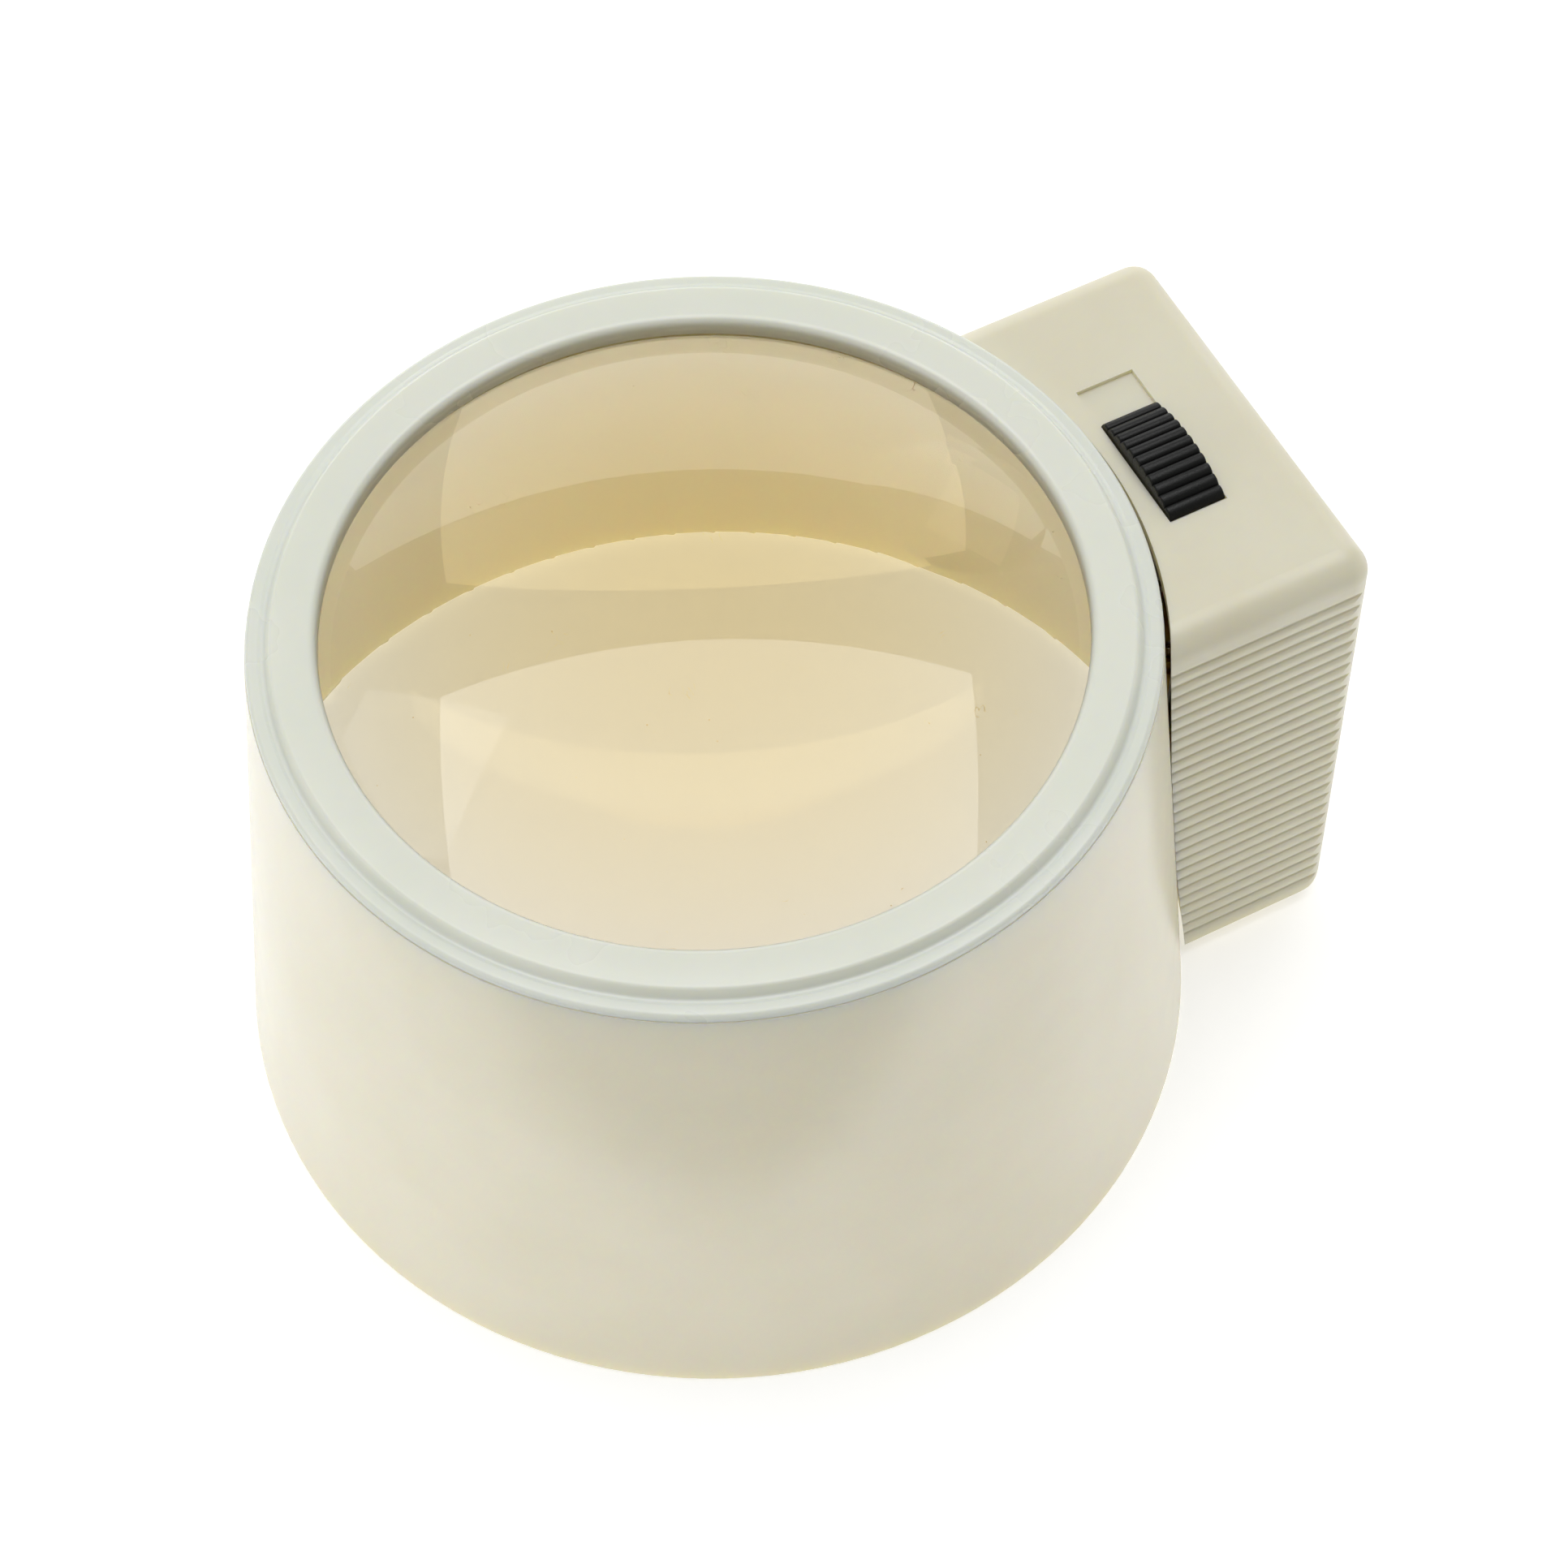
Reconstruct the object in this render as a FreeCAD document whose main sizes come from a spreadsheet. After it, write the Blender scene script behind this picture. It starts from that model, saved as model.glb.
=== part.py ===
"""Illuminated stand magnifier: a round lens held over the page by a cone-shaped stand, with a battery case and
a small lamp on its side.

Frame: +Z up, millimetres. The origin is on the lens axis, in the plane that the stand rests on. +X points from the
lens axis to the battery case.
"""

import FreeCAD, Part
import math
import os
import re

import Sketcher

SIZES = {
    # the stand: a cone that leans in by cone_lean for each millimetre of height
    "cone_radius": 50.1,
    "cone_lean": 0.0915,
    "cone_height": 61.0,
    "cone_wall": 2.4,
    "seat_height": 57.85,
    "seat_radius": 38.0,
    "seat_bore": 41.95,
    "base_round": 0.4,
    # the lens and the ring that holds it down
    "opening_radius": 37.4,
    "lens_radius": 39.6,
    "lens_rim_height": 60.8,
    "lens_rim": 3.0,
    "lens_upper_curve": 105.0,
    "lens_lower_curve": 250.0,
    "spot_x": 28.2,
    "spot_radius": 9.0,
    "spot_curve": 60.0,
    "spot_skirt": 0.3,
    "spot_depth": 1.5,
    "ring_radius": 44.4,
    "ring_height": 63.0,
    "ring_step_radius": 41.9,
    "flange_height": 62.0,
    "ring_skirt": 2.4,
    # the battery case
    "case_end": 62.8,
    "case_half_width": 22.9,
    "case_floor": 2.2,
    "case_top": 60.0,
    "case_wall": 1.8,
    "case_corner": 2.6,
    "case_top_round": 3.0,
    "case_foot_round": 3.5,
    "case_gap": 0.6,
    "grip_pitch": 1.95,
    "grip_top": 55.0,
    "grip_count": 27,
    "grip_depth": 0.32,
    "grip_shoulder_depth": 0.2,
    "grip_half_width": 0.9,
    "grip_floor_half": 0.22,
    "case_inner_x": 33.0,
    "rail_height": 0.9,
    "rail_reach": 0.8,
    # the door under the cells
    "door_thickness": 1.9,
    "door_gap": 0.3,
    "door_inner_x": 44.0,
    "door_lip_height": 2.45,
    "door_side_gap": 0.15,
    "thumb_ridge_x": 54.0,
    "thumb_ridge_pitch": 1.8,
    "thumb_ridge_width": 0.9,
    "thumb_ridge_height": 0.45,
    "strip_thickness": 0.35,
    # the cells
    "cell_x": 55.4,
    "cell_y": 14.0,
    "cell_floor": 4.6,
    "cell_radius": 5.25,
    "cell_length": 44.5,
    # the contacts above the cells
    "carrier_floor": 54.0,
    "carrier_top": 55.4,
    "carrier_inner_x": 44.9,
    "contact_thickness": 0.35,
    "post_x": 46.9,
    "post_y": 17.8,
    # the slide switch and its knob
    "switch_x": 50.2,
    "switch_half_width": 3.25,
    "switch_half_length": 9.6,
    "switch_floor": 52.8,
    "switch_top": 58.15,
    "slider_y": -2.2,
    "slide_travel": 4.8,
    "recess_depth": 0.5,
    "knob_width": 6.3,
    "knob_length": 13.6,
    "knob_crown": 62.0,
    "knob_end_height": 60.3,
    "knob_ridges": 11,
    # the lamp
    "lamp_x": 54.4,
    "lamp_block_floor": 14.8,
    "lamp_block_top": 17.8,
    "lamp_centre_height": 31.0,
    "window_half_width": 9.0,
    "window_half_height": 9.0,
    "globe_radius": 5.3,
    "reflector_radius": 6.5,
    "lamp_block_half_width": 7.2,
    "lamp_rib_thickness": 1.0,
    # fasteners and wires
    "case_screw_low": 12.0,
    "case_screw_high": 45.0,
    "screw_radius": 1.2,
    "boss_radius": 2.6,
    "boss_length": 18.0,
    "wire_radius": 0.6,
}

doc = FreeCAD.newDocument("stand_magnifier")
sheet = doc.addObject("Spreadsheet::Sheet", "Sizes")
for row, (alias, number) in enumerate(SIZES.items(), 1):
    sheet.set(f"A{row}", alias)
    sheet.set(f"B{row}", str(number))
    sheet.setAlias(f"B{row}", alias)
doc.recompute()

Vector = FreeCAD.Vector
sub_parts = []


def linked(expression):
    """The expression with each size's name turned into a reference to the sheet."""
    return re.sub(
        r"[a-z][a-z_]+", lambda word: "Sizes." + word.group() if word.group() in SIZES else word.group(),
        str(expression),
    )


def value(expression):
    """The number that an expression of sizes comes to."""
    return float(sheet.evalExpression(linked(expression)))


def bind(item, **settings):
    """Bind properties to expressions. Two underscores in a name stand for a dot."""
    for name, expression in settings.items():
        item.setExpression(name.replace("__", "."), linked(expression))


def keep(item, label):
    """Name a finished sub-part and put it on the list of those that are written out."""
    item.Label = label
    sub_parts.append(item)
    return item


def new_body(label):
    """An empty body, which is a sub-part of its own."""
    return keep(doc.addObject("PartDesign::Body", label), label)


def origin_plane(body, role):
    """One of the body's own origin planes."""
    return next(feature for feature in body.Origin.OriginFeatures if feature.Role == role)


def new_sketch(body, role, offset="0", shift=("0", "0")):
    """A sketch on an origin plane, moved out along its normal by offset and across it by shift."""
    sketch = body.newObject("Sketcher::SketchObject", body.Label + "_sketch")
    sketch.AttachmentSupport = [(origin_plane(body, role), "")]
    sketch.MapMode = "FlatFace"
    bind(
        sketch, AttachmentOffset__Base__x=shift[0], AttachmentOffset__Base__y=shift[1], AttachmentOffset__Base__z=offset
    )
    return sketch


def place_point(sketch, edge, end, across, up):
    """Bind one end of an edge to its two coordinates in the sketch."""
    for kind, expression in (("DistanceX", across), ("DistanceY", up)):
        index = sketch.addConstraint(Sketcher.Constraint(kind, -1, 1, edge, end, value(expression)))
        sketch.setExpression(f"Constraints[{index}]", linked(expression))


def place_radius(sketch, edge, radius):
    """Bind the radius of a circle or an arc."""
    index = sketch.addConstraint(Sketcher.Constraint("Radius", edge, value(radius)))
    sketch.setExpression(f"Constraints[{index}]", linked(radius))


def arc_between(start, end, radius, turn):
    """The shorter arc from start to end, counter-clockwise where turn is 1 and clockwise where it is -1."""
    half = (end - start) / 2
    height = math.sqrt(max(radius**2 - half.Length**2, 0.0))
    centre = start + half + Vector(-half.y, half.x, 0).normalize() * height * turn
    angles = [math.atan2(point.y - centre.y, point.x - centre.x) for point in (start, end)]
    first, last = angles if turn > 0 else reversed(angles)
    if last <= first:
        last += 2 * math.pi
    return Part.ArcOfCircle(Part.Circle(centre, Vector(0, 0, 1), radius), first, last)


def outline(sketch, corners):
    """A closed outline. (x, y) starts a straight edge; (x, y, radius, turn) starts an arc."""
    first = sketch.GeometryCount
    points = [Vector(value(corner[0]), value(corner[1]), 0) for corner in corners]
    count = len(corners)
    ends = []
    for number, corner in enumerate(corners):
        start, end = points[number], points[(number + 1) % count]
        if len(corner) == 2:
            sketch.addGeometry(Part.LineSegment(start, end), False)
            ends.append((1, 2))
        else:
            sketch.addGeometry(arc_between(start, end, value(corner[2]), corner[3]), False)
            ends.append((1, 2) if corner[3] > 0 else (2, 1))
    for number in range(count):
        following = (number + 1) % count
        sketch.addConstraint(
            Sketcher.Constraint(
                "Coincident", first + number, ends[number][1], first + following, ends[following][0]
            )
        )
    for number, corner in enumerate(corners):
        place_point(sketch, first + number, ends[number][0], corner[0], corner[1])
        if len(corner) == 4:
            place_radius(sketch, first + number, corner[2])


def rectangle(sketch, low_x, high_x, low_y, high_y):
    """A rectangle from its limits."""
    outline(sketch, [(low_x, low_y), (high_x, low_y), (high_x, high_y), (low_x, high_y)])


def circle(sketch, across, up, radius):
    """A full circle."""
    edge = sketch.addGeometry(
        Part.Circle(Vector(value(across), value(up), 0), Vector(0, 0, 1), value(radius)), False
    )
    place_point(sketch, edge, 3, across, up)
    place_radius(sketch, edge, radius)


def pad(body, sketch, length, both_ways=False, reverse=False):
    """Add material from the sketch along its normal."""
    feature = body.newObject("PartDesign::Pad", body.Label + "_pad")
    feature.Profile = sketch
    feature.SideType = "Symmetric" if both_ways else "One side"
    feature.Reversed = reverse
    bind(feature, Length=length)
    return feature


def pocket(body, sketch, length, both_ways=False, reverse=False):
    """Cut from the sketch against its normal, or along it where reverse is set."""
    feature = body.newObject("PartDesign::Pocket", body.Label + "_pocket")
    feature.Profile = sketch
    feature.SideType = "Symmetric" if both_ways else "One side"
    feature.Reversed = reverse
    bind(feature, Length=length)
    return feature


def turned(body, sketch, cut=False):
    """Turn the sketch once about its own vertical axis, as new material or as a cut."""
    kind = "Groove" if cut else "Revolution"
    feature = body.newObject("PartDesign::" + kind, body.Label + "_" + kind.lower())
    feature.Profile = sketch
    feature.ReferenceAxis = (sketch, ["V_Axis"])
    feature.Angle = 360
    return feature


def round_edges(body, radius, chosen):
    """Round every edge of the body so far that the test picks."""
    doc.recompute()
    base = body.Tip
    names = [f"Edge{number}" for number, edge in enumerate(base.Shape.Edges, 1) if chosen(edge)]
    feature = body.newObject("PartDesign::Fillet", body.Label + "_round")
    feature.Base = (base, names)
    bind(feature, Radius=radius)
    return feature


def is_ring_edge(edge, radius, height):
    """True for a full horizontal circle of this radius at this height."""
    box = edge.BoundBox
    flat = abs(box.ZMax - box.ZMin) < 1e-4 and abs(box.ZMax - value(height)) < 1e-4
    return flat and abs(box.XMax - value(radius)) < 1e-4 and abs(box.XMin + value(radius)) < 1e-4


def box(low, high):
    """A block between two corners."""
    block = doc.addObject("Part::Box", "block")
    sides = [f"({top}) - ({bottom})" for bottom, top in zip(low, high)]
    bind(block, Length=sides[0], Width=sides[1], Height=sides[2])
    bind(block, Placement__Base__x=low[0], Placement__Base__y=low[1], Placement__Base__z=low[2])
    return block


def cylinder(centre, radius, height, axis=(0, 0, 1)):
    """A cylinder that stands on its centre and points along axis."""
    rod = doc.addObject("Part::Cylinder", "rod")
    rod.Placement.Rotation = FreeCAD.Rotation(Vector(0, 0, 1), Vector(*axis))
    bind(rod, Radius=radius, Height=height)
    bind(rod, Placement__Base__x=centre[0], Placement__Base__y=centre[1], Placement__Base__z=centre[2])
    return rod


def cone(low_radius, high_radius, height, floor):
    """A cone about the lens axis."""
    solid = doc.addObject("Part::Cone", "cone")
    bind(solid, Radius1=low_radius, Radius2=high_radius, Height=height, Placement__Base__z=floor)
    return solid


def fuse(*pieces):
    """Several overlapping pieces as one."""
    joined = doc.addObject("Part::MultiFuse", "joined")
    joined.Shapes = list(pieces)
    return joined


def cut(base, tool):
    """The base without the tool."""
    result = doc.addObject("Part::Cut", "cut")
    result.Base = base
    result.Tool = tool
    return result


def common(first, second):
    """What two pieces share."""
    result = doc.addObject("Part::Common", "common")
    result.Base = first
    result.Tool = second
    return result


def group(pieces):
    """Like pieces that stay separate solids in one node."""
    together = doc.addObject("Part::Compound", "together")
    together.Links = pieces
    return together


def cone_at(height):
    """The stand's outer radius at a height."""
    return f"(cone_radius - cone_lean * ({height}))"


def screw(head_centre, axis, head_radius, head_height, radius, length):
    """A cheese-head screw: its slotted head stands on head_centre and its shank goes on along axis."""
    direction = dict(zip("xyz", axis))
    along = [f"({start}) + ({head_height}) * {direction[name]}" for start, name in zip(head_centre, "xyz")]
    head = cylinder(head_centre, head_radius, head_height, axis)
    shank = cylinder(along, radius, length, axis)
    slot_half = ["0.3" if name == "y" else f"({head_radius}) + 1" for name in "xyz"]
    depth = "0.5"
    slot_half = [depth if part else half for part, half in zip(axis, slot_half)]
    low = [f"({start}) - ({half})" for start, half in zip(head_centre, slot_half)]
    high = [f"({start}) + ({half})" for start, half in zip(head_centre, slot_half)]
    return cut(fuse(head, shank), box(low, high))


def tube(points, radius):
    """A round tube: straight runs through the points, joined by arcs as large as the runs allow. Gives the solid,
    the length of its middle line and its least bend."""
    edges, last, bends = [], points[0], []
    for before, corner, after in zip(points, points[1:], points[2:]):
        back, forth = (before - corner), (after - corner)
        half_turn = (math.pi - back.getAngle(forth)) / 2
        reach = 0.45 * min(back.Length, forth.Length)
        bends.append(reach / math.tan(half_turn))
        start, end = corner + back.normalize() * reach, corner + forth.normalize() * reach
        towards = ((start + end) / 2 - corner).normalize()
        middle = corner + towards * bends[-1] * (1 / math.cos(half_turn) - 1)
        edges.append(Part.LineSegment(last, start).toShape())
        edges.append(Part.Arc(start, middle, end).toShape())
        last = end
    edges.append(Part.LineSegment(last, points[-1]).toShape())
    route = Part.Wire(edges)
    section = Part.Wire(Part.Circle(points[0], points[1] - points[0], radius).toShape())
    return route.makePipeShell([section], True, False), route.Length, min(bends)


# Stand


def make_stand_body():
    """The moulded cone that holds the lens over the page: a ledge near the top carries the lens, a window in the
    wall lets the lamp's light in, and two holes take the screws of the battery case."""
    body = new_body("stand_body")
    sketch = new_sketch(body, "XZ_Plane")
    inner_top = "seat_height - 4.0"
    outline(
        sketch,
        [
            ("cone_radius - cone_wall", "0"),
            ("cone_radius", "0"),
            (cone_at("cone_height"), "cone_height"),
            ("seat_bore", "cone_height"),
            ("seat_bore", "seat_height"),
            ("seat_radius", "seat_height"),
            ("seat_radius", "seat_height - 1.4"),
            (cone_at(inner_top) + " - cone_wall", inner_top),
        ],
    )
    turned(body, sketch)
    round_edges(body, "base_round", lambda edge: is_ring_edge(edge, "cone_radius", "0"))
    round_edges(body, "0.5", lambda edge: is_ring_edge(edge, "cone_radius - cone_wall", "0"))
    window = new_sketch(body, "YZ_Plane")
    rectangle(
        window,
        "-window_half_width",
        "window_half_width",
        "lamp_centre_height - window_half_height",
        "lamp_centre_height + window_half_height",
    )
    pocket(body, window, "cone_radius + 5", reverse=True)
    for height in ("case_screw_low", "case_screw_high"):
        hole = new_sketch(body, "YZ_Plane")
        circle(hole, "0", height, "screw_radius + 0.2")
        pocket(body, hole, "cone_radius + 5", reverse=True)
        seat = new_sketch(body, "YZ_Plane")
        circle(seat, "0", height, "screw_radius * 2")
        pocket(body, seat, cone_at(height) + " - cone_wall + 0.3", reverse=True)


def make_lens():
    """The reading lens, more strongly curved above than below, with a plain cylindrical edge and a small round spot
    of higher power beside the battery case. The spot is a cap of a smaller sphere, whose axis is square to the
    upper surface and whose foot is a circle on it."""
    body = doc.addObject("PartDesign::Body", "lens_blank")
    sketch = new_sketch(body, "XZ_Plane")
    upper_centre = "lens_rim_height - sqrt(lens_upper_curve^2 - opening_radius^2)"
    lower_centre = "lens_rim_height - lens_rim + sqrt(lens_lower_curve^2 - opening_radius^2)"
    outline(
        sketch,
        [
            ("0", lower_centre + " - lens_lower_curve", "lens_lower_curve", 1),
            ("lens_radius", lower_centre + " - sqrt(lens_lower_curve^2 - lens_radius^2)"),
            ("lens_radius", upper_centre + " + sqrt(lens_upper_curve^2 - lens_radius^2)", "lens_upper_curve", 1),
            ("0", upper_centre + " + lens_upper_curve"),
        ],
    )
    turned(body, sketch)
    lean_x, lean_z = "(spot_x / lens_upper_curve)", "sqrt(1 - (spot_x / lens_upper_curve)^2)"
    circle_reach, centre_reach = "sqrt(lens_upper_curve^2 - spot_radius^2)", "sqrt(spot_curve^2 - spot_radius^2)"
    ball = doc.addObject("Part::Sphere", "spot_ball")
    ball_reach = f"({circle_reach} - {centre_reach})"
    bind(ball, Radius="spot_curve", Placement__Base__x=f"{lean_x} * {ball_reach}")
    bind(ball, Placement__Base__z=f"{upper_centre} + {lean_z} * {ball_reach}")
    foot_reach = f"({circle_reach} - spot_depth)"
    foot = (f"{lean_x} * {foot_reach}", "0", f"{upper_centre} + {lean_z} * {foot_reach}")
    plug = cylinder(foot, "spot_radius + spot_skirt", "spot_depth * 2", (value(lean_x), 0, value(lean_z)))
    keep(fuse(body, common(ball, plug)), "lens")


def make_retaining_ring():
    """The white ring that is pressed into the stand's mouth: a raised band round the lens, a step down to a thin
    flange flush with the stand, and a skirt inside the stand's bore."""
    body = new_body("retaining_ring")
    sketch = new_sketch(body, "XZ_Plane")
    outline(
        sketch,
        [
            ("opening_radius", "lens_rim_height + 0.1"),
            ("lens_radius + 0.6", "lens_rim_height + 0.1"),
            ("lens_radius + 0.6", "cone_height - ring_skirt"),
            ("seat_bore - 0.05", "cone_height - ring_skirt"),
            ("seat_bore - 0.05", "cone_height"),
            ("ring_radius", "cone_height"),
            ("ring_radius", "flange_height"),
            ("ring_step_radius + 0.7", "flange_height"),
            ("ring_step_radius", "ring_height"),
            ("opening_radius", "ring_height"),
        ],
    )
    turned(body, sketch)
    round_edges(body, "0.9", lambda edge: is_ring_edge(edge, "opening_radius", "ring_height"))
    round_edges(body, "0.55", lambda edge: is_ring_edge(edge, "ring_radius", "flange_height"))
    round_edges(body, "0.45", lambda edge: is_ring_edge(edge, "ring_step_radius", "ring_height"))


# Battery case and its door


def make_battery_case():
    """The battery case: a moulded box whose open inner side is closed by the stand's cone and whose underside is
    closed by the door. Its sides are grooved for grip."""
    body = new_body("battery_case")
    side = new_sketch(body, "XZ_Plane")
    rectangle(side, "case_inner_x", "case_end", "case_floor", "case_top")
    pad(body, side, "case_half_width * 2", both_ways=True)
    end, top = value("case_end"), value("case_top")
    round_edges(
        body,
        "case_corner",
        lambda edge: edge.BoundBox.XMin > end - 0.01 and edge.BoundBox.YLength < 0.01,
    )
    round_edges(
        body,
        "case_top_round",
        lambda edge: edge.BoundBox.ZMin > top - 0.01 and edge.BoundBox.XMax > value("case_inner_x") + 0.01,
    )
    foot = new_sketch(body, "XZ_Plane")
    outline(
        foot,
        [
            ("case_end - case_foot_round", "case_floor - 1"),
            ("case_end + 1", "case_floor - 1"),
            ("case_end + 1", "case_floor + case_foot_round"),
            ("case_end", "case_floor + case_foot_round", "case_foot_round", -1),
            ("case_end - case_foot_round", "case_floor"),
        ],
    )
    pocket(body, foot, "case_half_width * 3", both_ways=True)
    hollow_case(body)
    fit_case_to_stand(body)
    open_case_for_door(body)
    cut_switch_recess(body)
    groove_case_sides(body)


def hollow_case(body):
    """Hollow the box from below, and leave the posts and ribs that hold the lamp, the carrier and the screws."""
    hollow = new_sketch(body, "XY_Plane", "case_floor")
    half = "(case_half_width - case_wall)"
    rectangle(hollow, "case_inner_x", "case_end - case_wall", f"-{half}", half)
    pocket(body, hollow, "case_top - case_wall - case_floor", reverse=True)
    for height in ("case_screw_low", "case_screw_high"):
        boss = new_sketch(body, "YZ_Plane", "case_end - case_wall + 0.5")
        circle(boss, "0", height, "boss_radius")
        pad(body, boss, "boss_length", reverse=True)
    for side in ("", "-"):
        post = new_sketch(body, "XY_Plane", "carrier_top")
        circle(post, "post_x", side + "post_y", "2.2")
        pad(body, post, "case_top - case_wall + 0.4 - carrier_top")
        rib = new_sketch(body, "XY_Plane", "lamp_block_floor - 2")
        inner, outer = "lamp_block_half_width + 0.1", "lamp_block_half_width + 0.1 + lamp_rib_thickness"
        rectangle(rib, "56", "case_end - case_wall + 0.4", f"{side}({inner})", f"{side}({outer})")
        pad(body, rib, "10")


def fit_case_to_stand(body):
    """Cut the box to the stand's cone. The case touches the stand at mid height and stands off a little above and
    below, then the screw holes are bored."""
    saddle = new_sketch(body, "XZ_Plane")
    low, high = "case_floor + 15", "case_top - 22"
    outline(
        saddle,
        [
            ("0", "0"),
            (cone_at("0") + " + case_gap", "0"),
            (cone_at(low) + " + 0.02", low),
            (cone_at(high) + " + 0.02", high),
            (cone_at("case_top + 1") + " + case_gap", "case_top + 1"),
            ("0", "case_top + 1"),
        ],
    )
    turned(body, saddle, cut=True)
    for height in ("case_screw_low", "case_screw_high"):
        hole = new_sketch(body, "YZ_Plane", "44")
        circle(hole, "0", height, "screw_radius")
        pocket(body, hole, "13", reverse=True)
    for side in ("", "-"):
        hole = new_sketch(body, "XY_Plane", "carrier_top - 1")
        circle(hole, "post_x", side + "post_y", "0.9")
        pocket(body, hole, "3.4", reverse=True)


def open_case_for_door(body):
    """A slot through the foot of the end wall, and a groove inside each side wall for the door's tongues."""
    gap = new_sketch(body, "XY_Plane", "case_floor - 1")
    half = "case_half_width - case_wall"
    rectangle(gap, "case_end - case_wall - 1", "case_end + 1", f"-({half})", half)
    pocket(body, gap, "3.55", reverse=True)
    slot = new_sketch(body, "XY_Plane", "case_floor + 0.65")
    rectangle(slot, "case_inner_x", "case_end + 1", f"-({half}) - rail_reach", f"{half} + rail_reach")
    pocket(body, slot, "rail_height", reverse=True)


def cut_switch_recess(body):
    """The shallow tray that the knob slides in, and the slot that the slider's stem comes up through."""
    tray = new_sketch(body, "XY_Plane", "case_top")
    rectangle(tray, "switch_x - 3.3", "switch_x + 3.2", "-9.3", "9.4")
    pocket(body, tray, "recess_depth")
    slot = new_sketch(body, "XY_Plane", "case_top")
    rectangle(slot, "switch_x - 1.6", "switch_x + 1.6", "slider_y - 2.2", "slider_y + slide_travel + 2.2")
    pocket(body, slot, "case_wall + 1")


def groove_case_sides(body):
    """The level grooves on both sides. Each has a round floor between two round shoulders, and the grooves run out
    where the upright corner curves away."""
    first = new_sketch(body, "YZ_Plane", "case_end + 1")
    shoulder_reach = "(grip_half_width - grip_floor_half)"
    shoulder_curve = f"(grip_shoulder_depth^2 + {shoulder_reach}^2) / (2 * grip_shoulder_depth)"
    floor_depth = "(grip_depth - grip_shoulder_depth)"
    floor_curve = f"({floor_depth}^2 + grip_floor_half^2) / (2 * {floor_depth})"
    for sign, turn in (("", 1), ("-", -1)):
        outside, face = f"{sign}(case_half_width + 0.3)", f"{sign}case_half_width"
        valley = f"{sign}(case_half_width - grip_shoulder_depth)"
        outline(
            first,
            [
                (outside, "grip_top - grip_half_width"),
                (outside, "grip_top + grip_half_width"),
                (face, "grip_top + grip_half_width", shoulder_curve, -turn),
                (valley, "grip_top + grip_floor_half", floor_curve, turn),
                (valley, "grip_top - grip_floor_half", shoulder_curve, -turn),
                (face, "grip_top - grip_half_width"),
            ],
        )
    groove = pocket(body, first, "case_end + 1 - case_inner_x")
    doc.recompute()
    rows = body.newObject("PartDesign::LinearPattern", "grip_rows")
    rows.Originals = [groove]
    rows.Direction = (first, ["V_Axis"])
    rows.Reversed = True
    rows.Mode = "Spacing"
    bind(rows, Offset="grip_pitch", Occurrences="grip_count")
    body.Tip = rows


def make_battery_door():
    """The door under the cells: it slides out of the end of the case on two tongues, and has thumb ridges below."""
    body = new_body("battery_door")
    half = "case_half_width - case_wall - door_side_gap"
    top = "case_floor + door_thickness"
    side = new_sketch(body, "XZ_Plane")
    lip = "case_floor + door_lip_height"
    lip_x = "case_end - case_foot_round + sqrt(case_foot_round^2 - (case_foot_round - door_lip_height)^2)"
    outline(
        side,
        [
            ("door_inner_x", "case_floor"),
            ("case_end - case_foot_round", "case_floor", "case_foot_round", 1),
            (lip_x, lip),
            ("case_end - case_wall + 0.1", lip),
            ("case_end - case_wall + 0.1", top),
            ("door_inner_x", top),
        ],
    )
    pad(body, side, f"({half}) * 2", both_ways=True)
    tongues = new_sketch(body, "XY_Plane", "case_floor + 0.75")
    rectangle(tongues, "door_inner_x", "case_end - 3", f"-({half}) - rail_reach", f"{half} + rail_reach")
    pad(body, tongues, "rail_height - 0.2")
    for step in range(3):
        ridge = new_sketch(body, "XY_Plane", "case_floor")
        start = f"thumb_ridge_x + {step} * thumb_ridge_pitch"
        rectangle(ridge, start, start + " + thumb_ridge_width", "-7", "7")
        pad(body, ridge, "thumb_ridge_height", reverse=True)
    hollow = new_sketch(body, "XY_Plane", "case_floor - 1")
    circle(hollow, "0", "0", "cone_radius + door_gap")
    pocket(body, hollow, "5", reverse=True)


def make_door_contact_strip():
    """The plated strip on the door that joins the two cells in series."""
    floor = "case_floor + door_thickness"
    strip = box(("cell_x - 3.4", "-cell_y - 5", floor), ("cell_x + 3.4", "cell_y + 5", floor + " + strip_thickness"))
    keep(strip, "door_contact_strip")


# Cells and contacts


def make_cell(label, side, upside_down):
    """A slim round cell with its positive nub, standing on the strip."""
    body = new_body(label)
    sketch = new_sketch(body, "XZ_Plane")
    shoulder = "cell_length - 0.9"
    outline(
        sketch,
        [
            ("0", "0"),
            ("cell_radius - 0.8", "0"),
            ("cell_radius", "0.5"),
            ("cell_radius", shoulder + " - 0.5"),
            ("cell_radius - 0.8", shoulder),
            ("1.9", shoulder),
            ("1.9", "cell_length"),
            ("0", "cell_length"),
        ],
    )
    turned(body, sketch)
    bind(body, Placement__Base__x="cell_x", Placement__Base__y=side + "cell_y")
    if upside_down:
        body.Placement.Rotation = FreeCAD.Rotation(Vector(1, 0, 0), 180)
        bind(body, Placement__Base__z="cell_floor + cell_length")
    else:
        bind(body, Placement__Base__z="cell_floor")


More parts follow.
